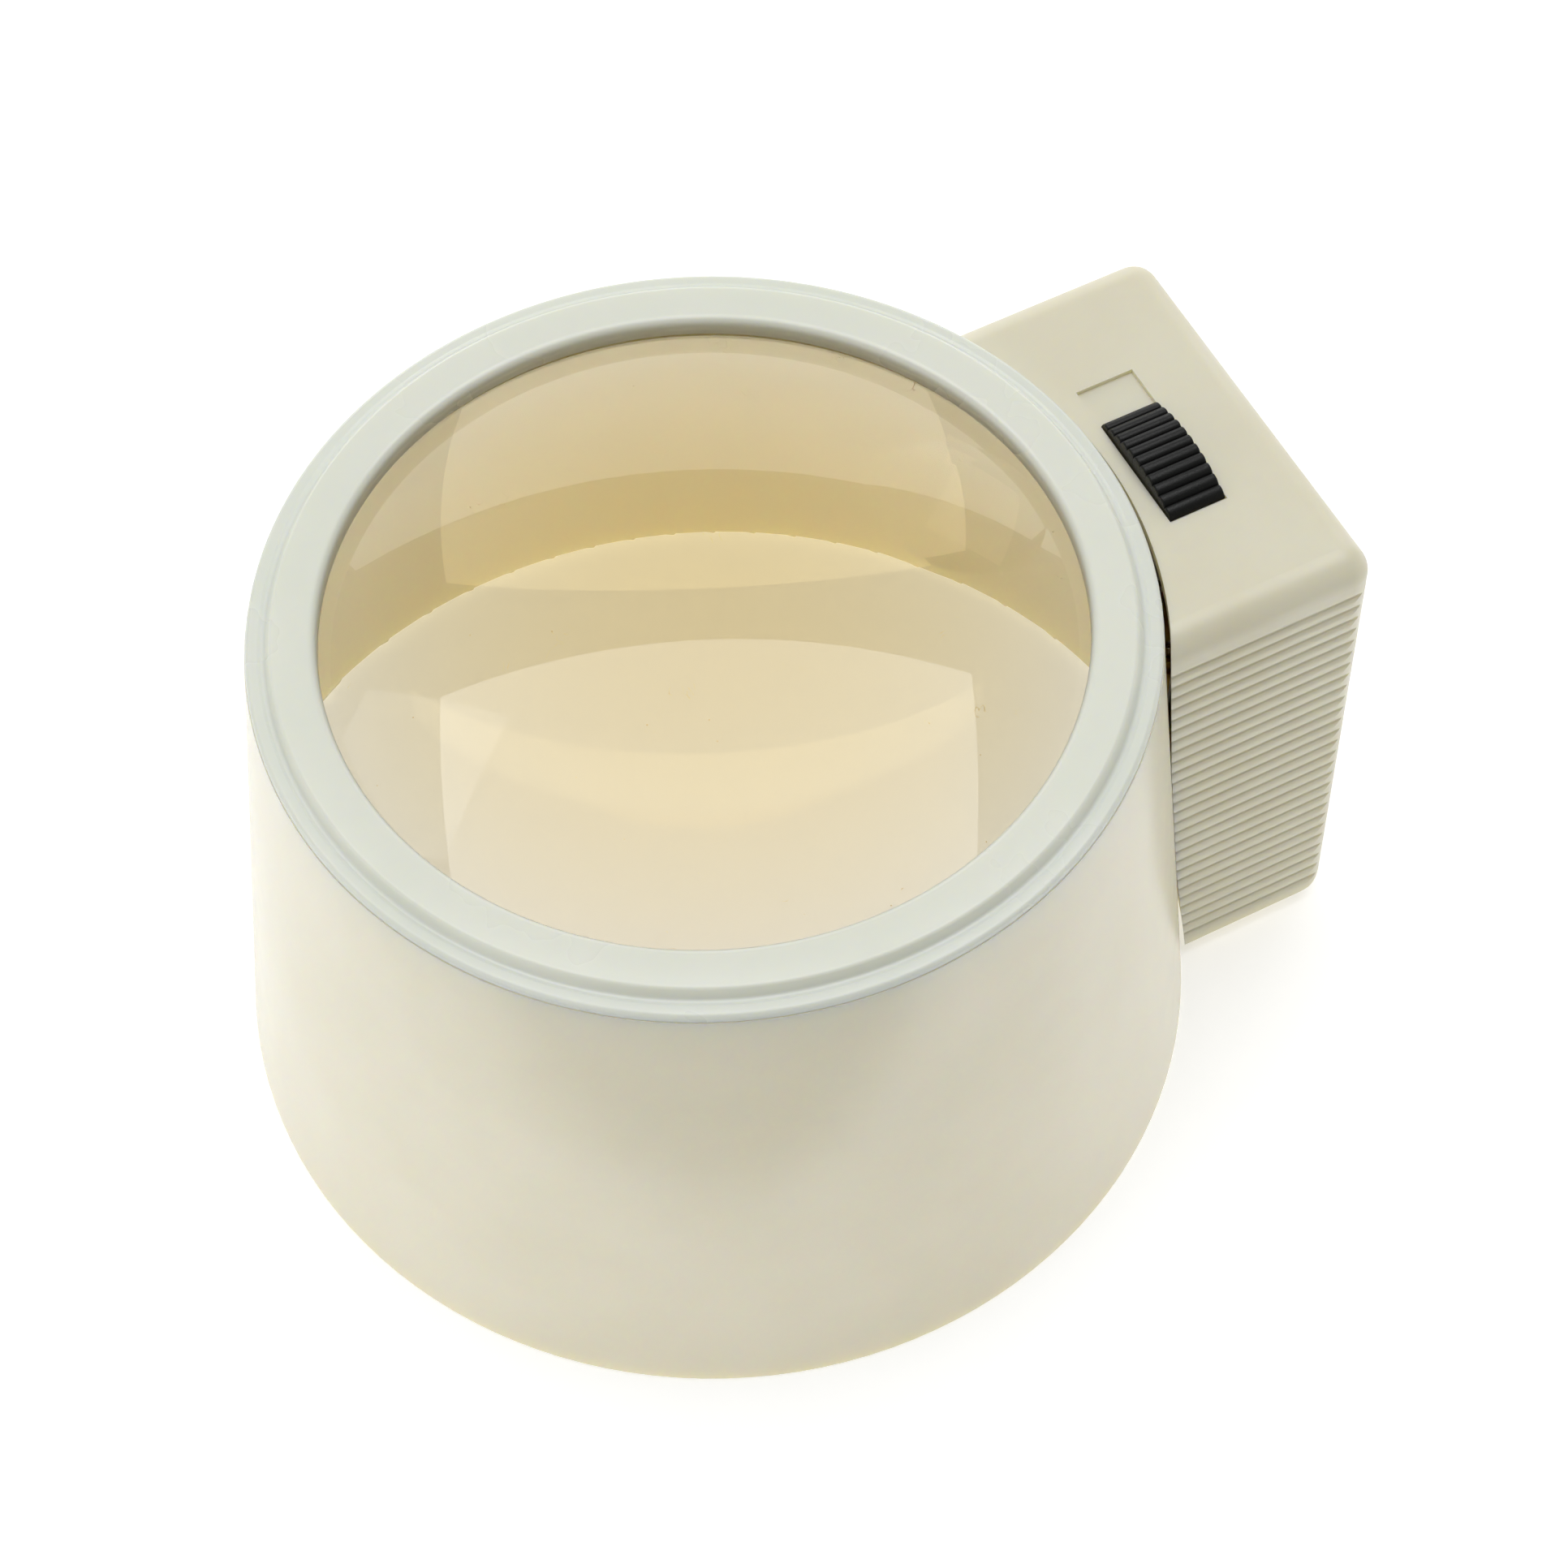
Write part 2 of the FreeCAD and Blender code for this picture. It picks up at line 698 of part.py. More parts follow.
def make_contact_carrier():
    """The moulded plate that holds the upper contacts, cut out round the switch."""
    body = new_body("contact_carrier")
    sketch = new_sketch(body, "XY_Plane", "carrier_floor")
    end, half, cut_y = "case_end - case_wall - 0.15", "case_half_width - case_wall - 0.2", "switch_half_length + 0.3"
    cut_x = "switch_x + switch_half_width + 0.4"
    outline(
        sketch,
        [
            ("carrier_inner_x", f"-({half})"),
            (end, f"-({half})"),
            (end, half),
            ("carrier_inner_x", half),
            ("carrier_inner_x", cut_y),
            (cut_x, cut_y),
            (cut_x, f"-({cut_y})"),
            ("carrier_inner_x", f"-({cut_y})"),
        ],
    )
    pad(body, sketch, "carrier_top - carrier_floor")
    for side in ("", "-"):
        hole = new_sketch(body, "XY_Plane", "carrier_floor - 1")
        circle(hole, "post_x", side + "post_y", "1.05")
        pocket(body, hole, "4", reverse=True)


def make_positive_contact():
    """The plated leaf that presses on the nub of the first cell."""
    body = new_body("positive_contact")
    sketch = new_sketch(body, "YZ_Plane", "cell_x - 5.4")
    tip, floor = "cell_floor + cell_length + 0.05", "carrier_floor - contact_thickness"
    outline(
        sketch,
        [
            ("cell_y - 4", "carrier_floor"),
            ("cell_y - 4", f"{floor} - 0.15"),
            ("cell_y", tip),
            ("cell_y + 1.9", tip + " + 1.85"),
            ("cell_y + 1.6", tip + " + 2.15"),
            ("cell_y", tip + " + 0.55"),
            ("cell_y - 3.3", floor),
            ("cell_y + 5.4", floor),
            ("cell_y + 5.4", "carrier_floor"),
        ],
    )
    pad(body, sketch, "9.4")
    trim = new_sketch(body, "XY_Plane", "carrier_floor - contact_thickness - 0.01")
    rectangle(trim, "cell_x - 6", "cell_x - 2.6", "cell_y - 3.2", "cell_y + 2.2")
    pocket(body, trim, "8")


def make_negative_contact():
    """The plated plate above the second cell, which its spring stands on."""
    floor = "carrier_floor - contact_thickness"
    plate = box(("cell_x - 5.4", "-cell_y - 5.4", floor), ("cell_x + 4", "-cell_y + 4", "carrier_floor"))
    keep(plate, "negative_contact")


def make_cell_spring():
    """The coil spring between the second cell and its contact plate."""
    thick, coil, turns, points_per_turn = 0.3, 3.0, 4, 10
    low = value("cell_floor + cell_length") + thick + 0.1
    high = value("carrier_floor - contact_thickness") - thick - 0.1
    points = []
    for step in range(turns * points_per_turn + 1):
        angle = 2 * math.pi * step / points_per_turn
        rise = (high - low) * step / (turns * points_per_turn)
        points.append(Vector(coil * math.cos(angle), coil * math.sin(angle), rise))
    spring = doc.addObject("Part::Feature", "cell_spring")
    spring.Shape = tube(points, thick)[0]
    spring.Placement.Base = Vector(value("cell_x"), -value("cell_y"), low)
    keep(spring, "cell_spring")


# Slide switch


def make_switch_cover():
    """The folded steel cover of the slide switch, open below, with a slot for the slider's stem."""
    half_x, half_y = "switch_half_width", "switch_half_length"
    outside = box(
        (f"switch_x - {half_x}", f"-{half_y}", "switch_floor"), (f"switch_x + {half_x}", half_y, "switch_top")
    )
    inside = box(
        (f"switch_x - {half_x} + 0.4", f"-{half_y} + 0.4", "switch_floor - 1"),
        (f"switch_x + {half_x} - 0.4", f"{half_y} - 0.4", "switch_top - 0.4"),
    )
    slot = box(
        ("switch_x - 1.6", "slider_y - 2.2", "switch_top - 2"),
        ("switch_x + 1.6", "slider_y + slide_travel + 2.2", "switch_top + 1"),
    )
    keep(cut(cut(outside, inside), slot), "switch_cover")


def make_switch_base():
    """The brown laminate plate that closes the switch from below and carries its three terminals."""
    plate = box(
        ("switch_x - switch_half_width + 0.45", "-switch_half_length + 0.45", "switch_floor"),
        ("switch_x + switch_half_width - 0.45", "switch_half_length - 0.45", "switch_floor + 1"),
    )
    for place in (-5, 0, 5):
        hole = box(
            ("switch_x - 0.62", f"{place} - 0.27", "switch_floor - 1"),
            ("switch_x + 0.62", f"{place} + 0.27", "switch_floor + 2"),
        )
        plate = cut(plate, hole)
    keep(plate, "switch_base")


def make_switch_terminals():
    """Three flat pins through the switch base."""
    pins = []
    for place in (-5, 0, 5):
        pins.append(
            box(
                ("switch_x - 0.6", f"{place} - 0.25", "switch_floor - 2.2"),
                ("switch_x + 0.6", f"{place} + 0.25", "switch_floor + 1.1"),
            )
        )
    keep(group(pins), "switch_terminals")


def make_switch_slider():
    """The black slider inside the switch, with the stem that carries the knob."""
    block = box(
        ("switch_x - 2.5", "slider_y - 4.5", "switch_floor + 1.9"),
        ("switch_x + 2.5", "slider_y + 4.5", "switch_top - 0.6"),
    )
    stem = box(
        ("switch_x - 1.4", "slider_y - 2", "switch_top - 0.8"), ("switch_x + 1.4", "slider_y + 2", "case_top + 0.9")
    )
    keep(fuse(block, stem), "switch_slider")


def make_switch_wiper():
    """The sprung bronze bridge under the slider, which joins two neighbouring terminals."""
    body = new_body("switch_wiper")
    sketch = new_sketch(body, "YZ_Plane", "switch_x - 1.5")
    top, low = "switch_floor + 1.9", "switch_floor + 1.15"
    outline(
        sketch,
        [
            ("slider_y - 4.2", top),
            ("slider_y - 2.5", low),
            ("slider_y - 0.8", top + " - 0.2"),
            ("slider_y + 0.8", top + " - 0.2"),
            ("slider_y + 2.5", low),
            ("slider_y + 4.2", top),
        ],
    )
    pad(body, sketch, "3")


def make_switch_knob():
    """The black thumb knob: crowned along its travel and cut into ridges across it, with a socket for the stem."""
    body = new_body("switch_knob")
    floor = "case_top - recess_depth + 0.1"
    low, high = "slider_y - knob_length / 2", "slider_y + knob_length / 2"
    rise = "(knob_crown - knob_end_height)"
    crown = f"(((knob_length / 2)^2 + {rise}^2) / (2 * {rise}))"
    profile = new_sketch(body, "YZ_Plane", "switch_x - knob_width / 2")
    outline(
        profile, [(low, floor), (high, floor), (high, "knob_end_height", crown, 1), (low, "knob_end_height")]
    )
    pad(body, profile, "knob_width")
    pitch = value("knob_length") / value("knob_ridges")
    step = math.degrees(pitch / value(crown))
    valley = new_sketch(body, "YZ_Plane", "switch_x + knob_width / 2 + 1", ("slider_y", f"knob_crown - {crown}"))
    lean = math.radians(step * (value("knob_ridges") / 2 - 1))
    across, along = Vector(math.cos(lean), math.sin(lean), 0), Vector(-math.sin(lean), math.cos(lean), 0)
    radius = value(crown)
    corners = [along * (radius + 0.4) - across * 0.55, along * (radius - 0.5), along * (radius + 0.4) + across * 0.55]
    outline(valley, [(f"{corner.x:.4f}", f"{corner.y:.4f}") for corner in corners])
    groove = pocket(body, valley, "knob_width + 2")
    doc.recompute()
    ridges = body.newObject("PartDesign::PolarPattern", "ridges")
    ridges.Originals = [groove]
    ridges.Axis = (valley, ["N_Axis"])
    ridges.Reversed = True
    ridges.Mode = "Spacing"
    ridges.Offset = step
    bind(ridges, Occurrences="knob_ridges - 1")
    body.Tip = ridges
    socket = new_sketch(body, "XY_Plane", floor + " - 1")
    rectangle(socket, "switch_x - 1.4", "switch_x + 1.4", "slider_y - 2", "slider_y + 2")
    pocket(body, socket, "case_top + 0.9 + 1 - (" + floor + ")", reverse=True)


# Lamp


def make_lamp_window():
    """The clear cover that is let into the stand's wall in front of the lamp."""
    inner = cone(cone_at("0") + " - cone_wall + 0.7", cone_at("60") + " - cone_wall + 0.7", "60", "0")
    outer = cone(cone_at("0") + " - 0.7", cone_at("60") + " - 0.7", "60", "0")
    frame = box(
        ("30", "-window_half_width + 0.05", "lamp_centre_height - window_half_height + 0.05"),
        ("60", "window_half_width - 0.05", "lamp_centre_height + window_half_height - 0.05"),
    )
    keep(common(cut(outer, inner), frame), "lamp_window")


def make_lamp_block():
    """The insulating block under the lamp, held between two ribs of the case, with a groove for the contact."""
    block = box(
        ("lamp_x - 5.2", "-lamp_block_half_width", "lamp_block_floor"),
        ("case_end - case_wall - 0.05", "lamp_block_half_width", "lamp_block_top"),
    )
    groove = box(("lamp_x - 1.3", "-1.6", "lamp_block_top - 0.45"), ("lamp_x + 1.3", "8", "lamp_block_top + 1"))
    keep(cut(block, groove), "lamp_block")


def make_lamp_centre_contact():
    """The brass leaf in the block's groove, raised in the middle to meet the bulb's tip."""
    leaf = box(("lamp_x - 1.2", "-1.5", "lamp_block_top - 0.4"), ("lamp_x + 1.2", "7", "lamp_block_top - 0.05"))
    bump = box(("lamp_x - 1.2", "-1.5", "lamp_block_top - 0.2"), ("lamp_x + 1.2", "1.5", "lamp_block_top + 0.3"))
    keep(fuse(leaf, bump), "lamp_centre_contact")


def make_lamp_sleeve():
    """The brass screw sleeve that the bulb's cap turns into."""
    centre = ("lamp_x", "0", "lamp_block_top")
    outside = cylinder(centre, "5.1", "7.2")
    inside = cylinder(("lamp_x", "0", "lamp_block_top - 1"), "4.7", "9.2")
    keep(cut(outside, inside), "lamp_sleeve")


def make_bulb():
    """The bulb: a brass screw cap with its tip, a blown glass globe, and the filament between its two leads."""
    cap_floor, cap_height = "lamp_block_top + 0.35", "8.4"
    cap = new_body("bulb_cap")
    sketch = new_sketch(cap, "XZ_Plane")
    outline(
        sketch,
        [
            ("0", "0"),
            ("1.6", "0"),
            ("1.6", "0.5"),
            ("3.8", "1.2"),
            ("4.6", "1.9"),
            ("4.6", cap_height),
            ("0", cap_height),
        ],
    )
    turned(cap, sketch)
    bind(cap, Placement__Base__x="lamp_x", Placement__Base__z=cap_floor)
    glass = new_body("bulb_glass")
    sketch = new_sketch(glass, "XZ_Plane")
    centre, neck, thick = "(globe_radius - 0.1)", "4.0", "0.5"
    outline(
        sketch,
        [
            (neck, "0"),
            (neck, f"{centre} - sqrt(globe_radius^2 - {neck}^2)", "globe_radius", 1),
            ("0", f"{centre} + globe_radius"),
            ("0", f"{centre} + globe_radius - {thick}", f"globe_radius - {thick}", -1),
            (f"{neck} - {thick}", f"{centre} - sqrt((globe_radius - {thick})^2 - ({neck} - {thick})^2)"),
            (f"{neck} - {thick}", "0"),
        ],
    )
    turned(glass, sketch)
    glass_floor = f"{cap_floor} + {cap_height}"
    bind(glass, Placement__Base__x="lamp_x", Placement__Base__z=glass_floor)
    leads = [cylinder(("lamp_x", place, glass_floor), "0.2", "5.4") for place in ("-1.6", "1.6")]
    coil = cylinder(("lamp_x", "-1.7", f"{glass_floor} + 5.2"), "0.3", "3.4", (0, 1, 0))
    keep(fuse(*leads, coil), "bulb_filament")


def make_lamp_reflector():
    """The bright half-round sheet behind the bulb, which throws its light through the window."""
    body = new_body("lamp_reflector")
    sketch = new_sketch(body, "XY_Plane")
    outer, inner = "reflector_radius", "reflector_radius - 0.3"
    outline(
        sketch,
        [
            ("-1", f"-({outer})"),
            ("0", f"-({outer})", outer, 1),
            (outer, "0", outer, 1),
            ("0", outer),
            ("-1", outer),
            ("-1", inner),
            ("0", inner, inner, -1),
            (inner, "0", inner, -1),
            ("0", f"-({inner})"),
            ("-1", f"-({inner})"),
        ],
    )
    pad(body, sketch, "22")
    bind(body, Placement__Base__x="lamp_x", Placement__Base__z="lamp_block_top + 1.6")


# Fasteners and wires


def make_screws():
    """Two screws from inside the stand hold the case, and two more hold the contact carrier under its roof."""
    case_screws = []
    for height in ("case_screw_low", "case_screw_high"):
        seat = cone_at(height) + " - cone_wall + 0.3"
        case_screws.append(screw((f"{seat} - 1.2", "0", height), (1, 0, 0), "2.1", "1.2", "screw_radius", "9"))
    keep(group(case_screws), "case_screws")
    carrier_screws = []
    for side in ("", "-"):
        head = ("post_x", side + "post_y", "carrier_floor - 1.1")
        carrier_screws.append(screw(head, (0, 0, 1), "1.9", "1.1", "0.9", "3.6"))
    keep(group(carrier_screws), "carrier_screws")


def wire(label, points):
    """An insulated wire through the points."""
    radius = value("wire_radius")
    shape, length, least = tube([Vector(*point) for point in points], radius)
    item = doc.addObject("Part::Feature", label)
    item.Shape = shape
    ratio = shape.Volume / (math.pi * radius**2 * length)
    print(f"{label}: {length:.1f} mm, least radius {least:.1f} mm, volume ratio {ratio:.4f}")
    keep(item, label)


def make_wires():
    """Three wires run in the free space between the cells and the stand."""
    wire("wire_cell_to_switch", [(50.6, 17.4, 53.0), (48.4, 13.4, 52.6), (48.2, 9.2, 51.3), (50.2, 5.3, 50.0)])
    wire(
        "wire_switch_to_lamp",
        [
            (50.2, 0.0, 49.9),
            (51.6, 3.6, 48.6),
            (50.6, 8.0, 44.5),
            (49.4, 9.8, 37.5),
            (49.2, 10.0, 30.0),
            (49.6, 9.6, 23.5),
            (51.4, 7.8, 19.3),
            (54.2, 6.6, 18.45),
        ],
    )
    wire(
        "wire_lamp_to_cell",
        [
            (50.8, -4.8, 18.8),
            (49.6, -8.2, 20.6),
            (49.1, -9.8, 26.0),
            (49.1, -10.1, 34.0),
            (48.7, -10.4, 42.0),
            (48.4, -12.2, 48.4),
            (49.2, -15.0, 51.8),
            (50.9, -17.2, 52.9),
        ],
    )


def check_and_write():
    """Stop at any failed feature or shape, then write each sub-part's own file."""
    doc.recompute()
    failed = [item.Name for item in doc.Objects if {"Invalid", "Error"} & set(item.State)]
    failed += [item.Label for item in sub_parts if item.Shape.isNull() or not item.Shape.isValid()]
    if failed:
        raise RuntimeError("failed: " + ", ".join(failed))
    os.makedirs("parts", exist_ok=True)
    for item in sub_parts:
        item.Shape.exportStep(f"parts/{item.Label}.step")
        print(f"{item.Label}: {len(item.Shape.Solids)} solid(s), {item.Shape.Volume:.1f} mm3")


make_stand_body()
make_lens()
make_retaining_ring()
make_battery_case()
make_battery_door()
make_door_contact_strip()
make_cell("cell_upright", "", False)
make_cell("cell_inverted", "-", True)
make_contact_carrier()
make_positive_contact()
make_negative_contact()
make_cell_spring()
make_switch_cover()
make_switch_base()
make_switch_terminals()
make_switch_slider()
make_switch_wiper()
make_switch_knob()
make_lamp_window()
make_lamp_block()
make_lamp_centre_contact()
make_lamp_sleeve()
make_bulb()
make_lamp_reflector()
make_screws()
make_wires()
check_and_write()
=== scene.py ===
"""A round reading magnifier on a cone-shaped stand, with a battery case and a slide switch on its side.

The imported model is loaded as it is. Pieces that want a finer surface are replaced by loft(), which joins a
row of closed loops with four-sided faces: point j of loop i is a function of the two numbers i and j. Turned
pieces use loops of (r cos a, r sin a, z), where (r, z) walks round an outline whose corners are rounded by
arcs.
All lengths are in metres, +Z up, +X from the lens to the battery case.
"""

import math

import bpy
import numpy as np
from mathutils import Matrix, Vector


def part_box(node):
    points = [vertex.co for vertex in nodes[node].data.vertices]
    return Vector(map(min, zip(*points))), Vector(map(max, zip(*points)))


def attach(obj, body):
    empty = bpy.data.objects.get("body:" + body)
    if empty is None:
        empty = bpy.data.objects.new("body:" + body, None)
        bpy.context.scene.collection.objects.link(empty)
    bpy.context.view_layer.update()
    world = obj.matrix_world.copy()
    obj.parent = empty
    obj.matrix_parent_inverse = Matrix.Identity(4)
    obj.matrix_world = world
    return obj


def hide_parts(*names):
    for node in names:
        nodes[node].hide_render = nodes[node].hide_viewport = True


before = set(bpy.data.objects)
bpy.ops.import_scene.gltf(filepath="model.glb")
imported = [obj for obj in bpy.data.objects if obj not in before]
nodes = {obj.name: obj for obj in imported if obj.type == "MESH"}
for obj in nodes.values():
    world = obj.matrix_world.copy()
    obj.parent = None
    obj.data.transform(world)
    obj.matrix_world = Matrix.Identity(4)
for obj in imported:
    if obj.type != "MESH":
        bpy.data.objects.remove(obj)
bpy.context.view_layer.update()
MM = 0.001


# Stand: the cone-shaped foot, injection moulded in ivory ABS. It is glossy and a little milky, with the faint
# waviness that a polished mould leaves.

MICRON = 1e-6
ABS_REFRACTION = 1.53
PATCH_WIDTH = 14
RIPPLE_WIDTH = 5
MILK_DEPTH = 3.5 * MM
MILK_REACH = (1.0, 0.76, 0.22)


def linear(colour):
    """A hex sRGB colour as linear red, green, blue and alpha: each channel c gives ((c + 0.055) / 1.055) ^
    2.4."""
    channels = np.array([int(colour[start:start + 2], 16) for start in (1, 3, 5)]) / 255
    values = np.where(channels <= 0.04045, channels / 12.92, ((channels + 0.055) / 1.055) ** 2.4)
    return (*values.tolist(), 1.0)


def per_metre(millimetres):
    """The texture scale at which one cell of a pattern is this many millimetres wide."""
    return 1000 / millimetres


def add_node(tree, kind, settings=None, inputs=None):
    """Add one node with its own settings. Each input is a value, or another node's output, which is then
    linked."""
    node = tree.nodes.new(kind)
    for key, setting in (settings or {}).items():
        setattr(node, key, setting)
    for key, given in (inputs or {}).items():
        if isinstance(given, bpy.types.NodeSocket):
            tree.links.new(given, node.inputs[key])
        else:
            node.inputs[key].default_value = given
    return node


def new_material(name):
    """An empty material: its node tree, its Principled shader and its Object coordinates."""
    material = bpy.data.materials.new(name)
    material.use_nodes = True
    tree = material.node_tree
    tree.nodes.clear()
    shader = add_node(tree, "ShaderNodeBsdfPrincipled")
    add_node(tree, "ShaderNodeOutputMaterial", inputs={"Surface": shader.outputs[0]})
    place = add_node(tree, "ShaderNodeTexCoord").outputs["Object"]
    return material, tree, shader, place


def blend_colours(tree, share, first, second):
    """The first colour where share is 0 and the second where it is 1. Either may be a hex colour or a
    socket."""
    first, second = (linear(c) if isinstance(c, str) else c for c in (first, second))
    mix = add_node(tree, "ShaderNodeMix", {"data_type": "RGBA"}, {0: share, 6: first, 7: second})
    return mix.outputs[2]


def spread(tree, given, low, high, to_low, to_high):
    """Map low..high of a pattern to to_low..to_high, held at both ends."""
    inputs = {"Value": given, "From Min": low, "From Max": high, "To Min": to_low, "To Max": to_high}
    return add_node(tree, "ShaderNodeMapRange", inputs=inputs).outputs[0]


def moulded_plastic(name, colour, shade, gloss, wave, milk):
    """Injection-moulded plastic: the colour drifts to shade in patches, wave is the height in microns of the
    slow waviness that the mould leaves, and milk is the share of light that travels inside, up to MILK_DEPTH
    times MILK_REACH in red, green and blue. PATCH_WIDTH and RIPPLE_WIDTH are in millimetres."""
    material, tree, shader, place = new_material(name)
    patches = add_node(
        tree, "ShaderNodeTexNoise",
        inputs={"Vector": place, "Scale": per_metre(PATCH_WIDTH), "Detail": 3.0, "Roughness": 0.55},
    ).outputs["Fac"]
    ripple = add_node(
        tree, "ShaderNodeTexNoise", inputs={"Vector": place, "Scale": per_metre(RIPPLE_WIDTH), "Detail": 1.0}
    ).outputs["Fac"]
    patchy = blend_colours(tree, spread(tree, patches, 0.35, 0.65, 0.0, 1.0), colour, shade)
    bump = add_node(
        tree, "ShaderNodeBump", inputs={"Height": ripple, "Distance": wave * MICRON, "Strength": 1.0}
    )
    tree.links.new(patchy, shader.inputs["Base Color"])
    tree.links.new(spread(tree, patches, 0.3, 0.7, gloss * 0.85, gloss * 1.15), shader.inputs["Roughness"])
    tree.links.new(bump.outputs[0], shader.inputs["Normal"])
    shader.inputs["IOR"].default_value = ABS_REFRACTION
    shader.inputs["Subsurface Weight"].default_value = milk
    shader.inputs["Subsurface Radius"].default_value = MILK_REACH
    shader.inputs["Subsurface Scale"].default_value = MILK_DEPTH
    return material


def paint(node, material):
    """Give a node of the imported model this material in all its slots."""
    for slot in nodes[node].material_slots:
        slot.material = material


ivory_abs = moulded_plastic("ivory_abs_polished", "#e8e4d0", "#e5e1cb", gloss=0.22, wave=6.0, milk=0.7)
paint("stand_body", ivory_abs)


# Lens: a double-convex disc of cast acrylic with polished faces, faintly warm, and a round spot of higher
# power beside the battery case. It has the fine hair scratches and lint of a lens in daily use.

UPPER_CURVE = 105 * MM
LOWER_CURVE = 250 * MM
OPENING_RADIUS = 37.4 * MM
RIM_HEIGHT = 60.8 * MM
RIM_THICKNESS = 3.0 * MM
SPOT_X = 28.2 * MM
SPOT_RADIUS = 9.0 * MM
SPOT_CURVE = 60 * MM
SPOT_AIM_X = SPOT_X * 0.999
LENS_POINTS = 288
EDGE_ROWS = 6
ACRYLIC_REFRACTION = 1.49

# Where the rows of points lie on each face, as shares of the way out from its middle: close together where
# the spot meets the lens.
SPOT_ROWS = np.append(np.linspace(0.06, 0.94, 14), [0.98, 1.0])
TOP_ROWS = np.concatenate([[0.004, 0.012], np.linspace(0.03, 1.0, 40) ** 1.15])
BOTTOM_ROWS = np.append(np.linspace(1.0, 0.05, 36), 0.02)


def loft(name, loops, ends):
    """A mesh from closed loops, loops[i, j] being point j of loop i. With ends "joined" the last loop meets
    the first; with ends "poles" the first and the last loop shrink to one point each, their middle."""
    count, around = loops.shape[:2]
    number = np.arange(count * around).reshape(count, around)
    if ends == "joined":
        number = np.vstack([number, number[:1]])
    points = loops.reshape(-1, 3)
    following = np.roll(number, -1, axis=1)
    corners = [number[:-1], following[:-1], following[1:], number[1:]]
    faces = np.stack(corners, axis=-1).reshape(-1, 4).tolist()
    if ends == "poles":
        points = np.vstack([points, loops[0].mean(axis=0), loops[-1].mean(axis=0)])
        first, last = len(points) - 2, len(points) - 1
        top = np.stack([np.full(around, first), following[0], number[0]], axis=-1)
        bottom = np.stack([np.full(around, last), number[-1], following[-1]], axis=-1)
        faces += top.tolist() + bottom.tolist()
    mesh = bpy.data.meshes.new(name)
    mesh.from_pydata(points, [], faces)
    mesh.polygons.foreach_set("use_smooth", np.ones(len(faces), bool))
    mesh.update()
    piece = bpy.data.objects.new(name, mesh)
    bpy.context.scene.collection.objects.link(piece)
    return piece


def circles(centre_x, radius, height, around):
    """Level circles: loop i has centre (centre_x[i], 0) and points (centre_x + r cos a, r sin a, height)."""
    angle = np.linspace(0, 2 * math.pi, around, endpoint=False)
    centre_x, radius = np.broadcast_arrays(np.atleast_1d(centre_x)[:, None], np.atleast_1d(radius)[:, None])
    across = centre_x + radius * np.cos(angle)
    along = radius * np.sin(angle)
    if callable(height):
        up = height(across, along)
    else:
        up = np.broadcast_to(np.atleast_1d(height)[:, None], across.shape)
    return np.stack([across, along, up], axis=-1)


UPPER_CENTRE = RIM_HEIGHT - math.sqrt(UPPER_CURVE**2 - OPENING_RADIUS**2)
LOWER_CENTRE = RIM_HEIGHT - RIM_THICKNESS + math.sqrt(LOWER_CURVE**2 - OPENING_RADIUS**2)
SPOT_LEAN = math.asin(SPOT_X / UPPER_CURVE)
SPOT_REACH = math.sqrt(UPPER_CURVE**2 - SPOT_RADIUS**2) - math.sqrt(SPOT_CURVE**2 - SPOT_RADIUS**2)


def upper_face(across, along):
    """Height of the upper sphere: its centre plus the root of curve squared less distance squared."""
    return UPPER_CENTRE + np.sqrt(UPPER_CURVE**2 - across**2 - along**2)


def lower_face(across, along):
    """Height of the lower sphere, whose centre is above the lens."""
    return LOWER_CENTRE - np.sqrt(LOWER_CURVE**2 - across**2 - along**2)


def spot_loops(polar):
    """Circles on the spot's own sphere at these polar angles from its axis, which leans by SPOT_LEAN towards
    +X."""
    angle = np.linspace(0, 2 * math.pi, LENS_POINTS, endpoint=False)
    across = SPOT_CURVE * np.sin(polar)[:, None] * np.cos(angle)
    along = SPOT_CURVE * np.sin(polar)[:, None] * np.sin(angle)
    up = np.broadcast_to(SPOT_CURVE * np.cos(polar)[:, None] + SPOT_REACH, across.shape)
    leaned_x = across * math.cos(SPOT_LEAN) + up * math.sin(SPOT_LEAN)
    leaned_z = up * math.cos(SPOT_LEAN) - across * math.sin(SPOT_LEAN)
    return np.stack([leaned_x, along, leaned_z + UPPER_CENTRE], axis=-1)


lens_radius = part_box("lens")[1].x
rim_polar = math.asin(SPOT_RADIUS / SPOT_CURVE)
on_spot = spot_loops(rim_polar * SPOT_ROWS)
rim = on_spot[-1]
share = TOP_ROWS[:, None]
edge_angle = np.arctan2(rim[:, 1], rim[:, 0] - SPOT_AIM_X)
edge = np.stack([lens_radius * np.cos(edge_angle), lens_radius * np.sin(edge_angle)], axis=-1)
round_spot = rim[:, :2] * (1 - share[..., None]) + edge * share[..., None]
on_top = np.dstack([round_spot, upper_face(round_spot[..., 0], round_spot[..., 1])])
flat_edge = np.linspace(on_top[-1, :, 2], lower_face(edge[:, 0], edge[:, 1]), EDGE_ROWS)[1:-1]
on_edge = np.dstack([np.broadcast_to(edge, (len(flat_edge), *edge.shape)), flat_edge])
below = edge * BOTTOM_ROWS[:, None, None]
on_bottom = np.dstack([below, lower_face(below[..., 0], below[..., 1])])
lens = loft("lens_disc", np.concatenate([on_spot, on_top, on_edge, on_bottom])[::-1], "poles")


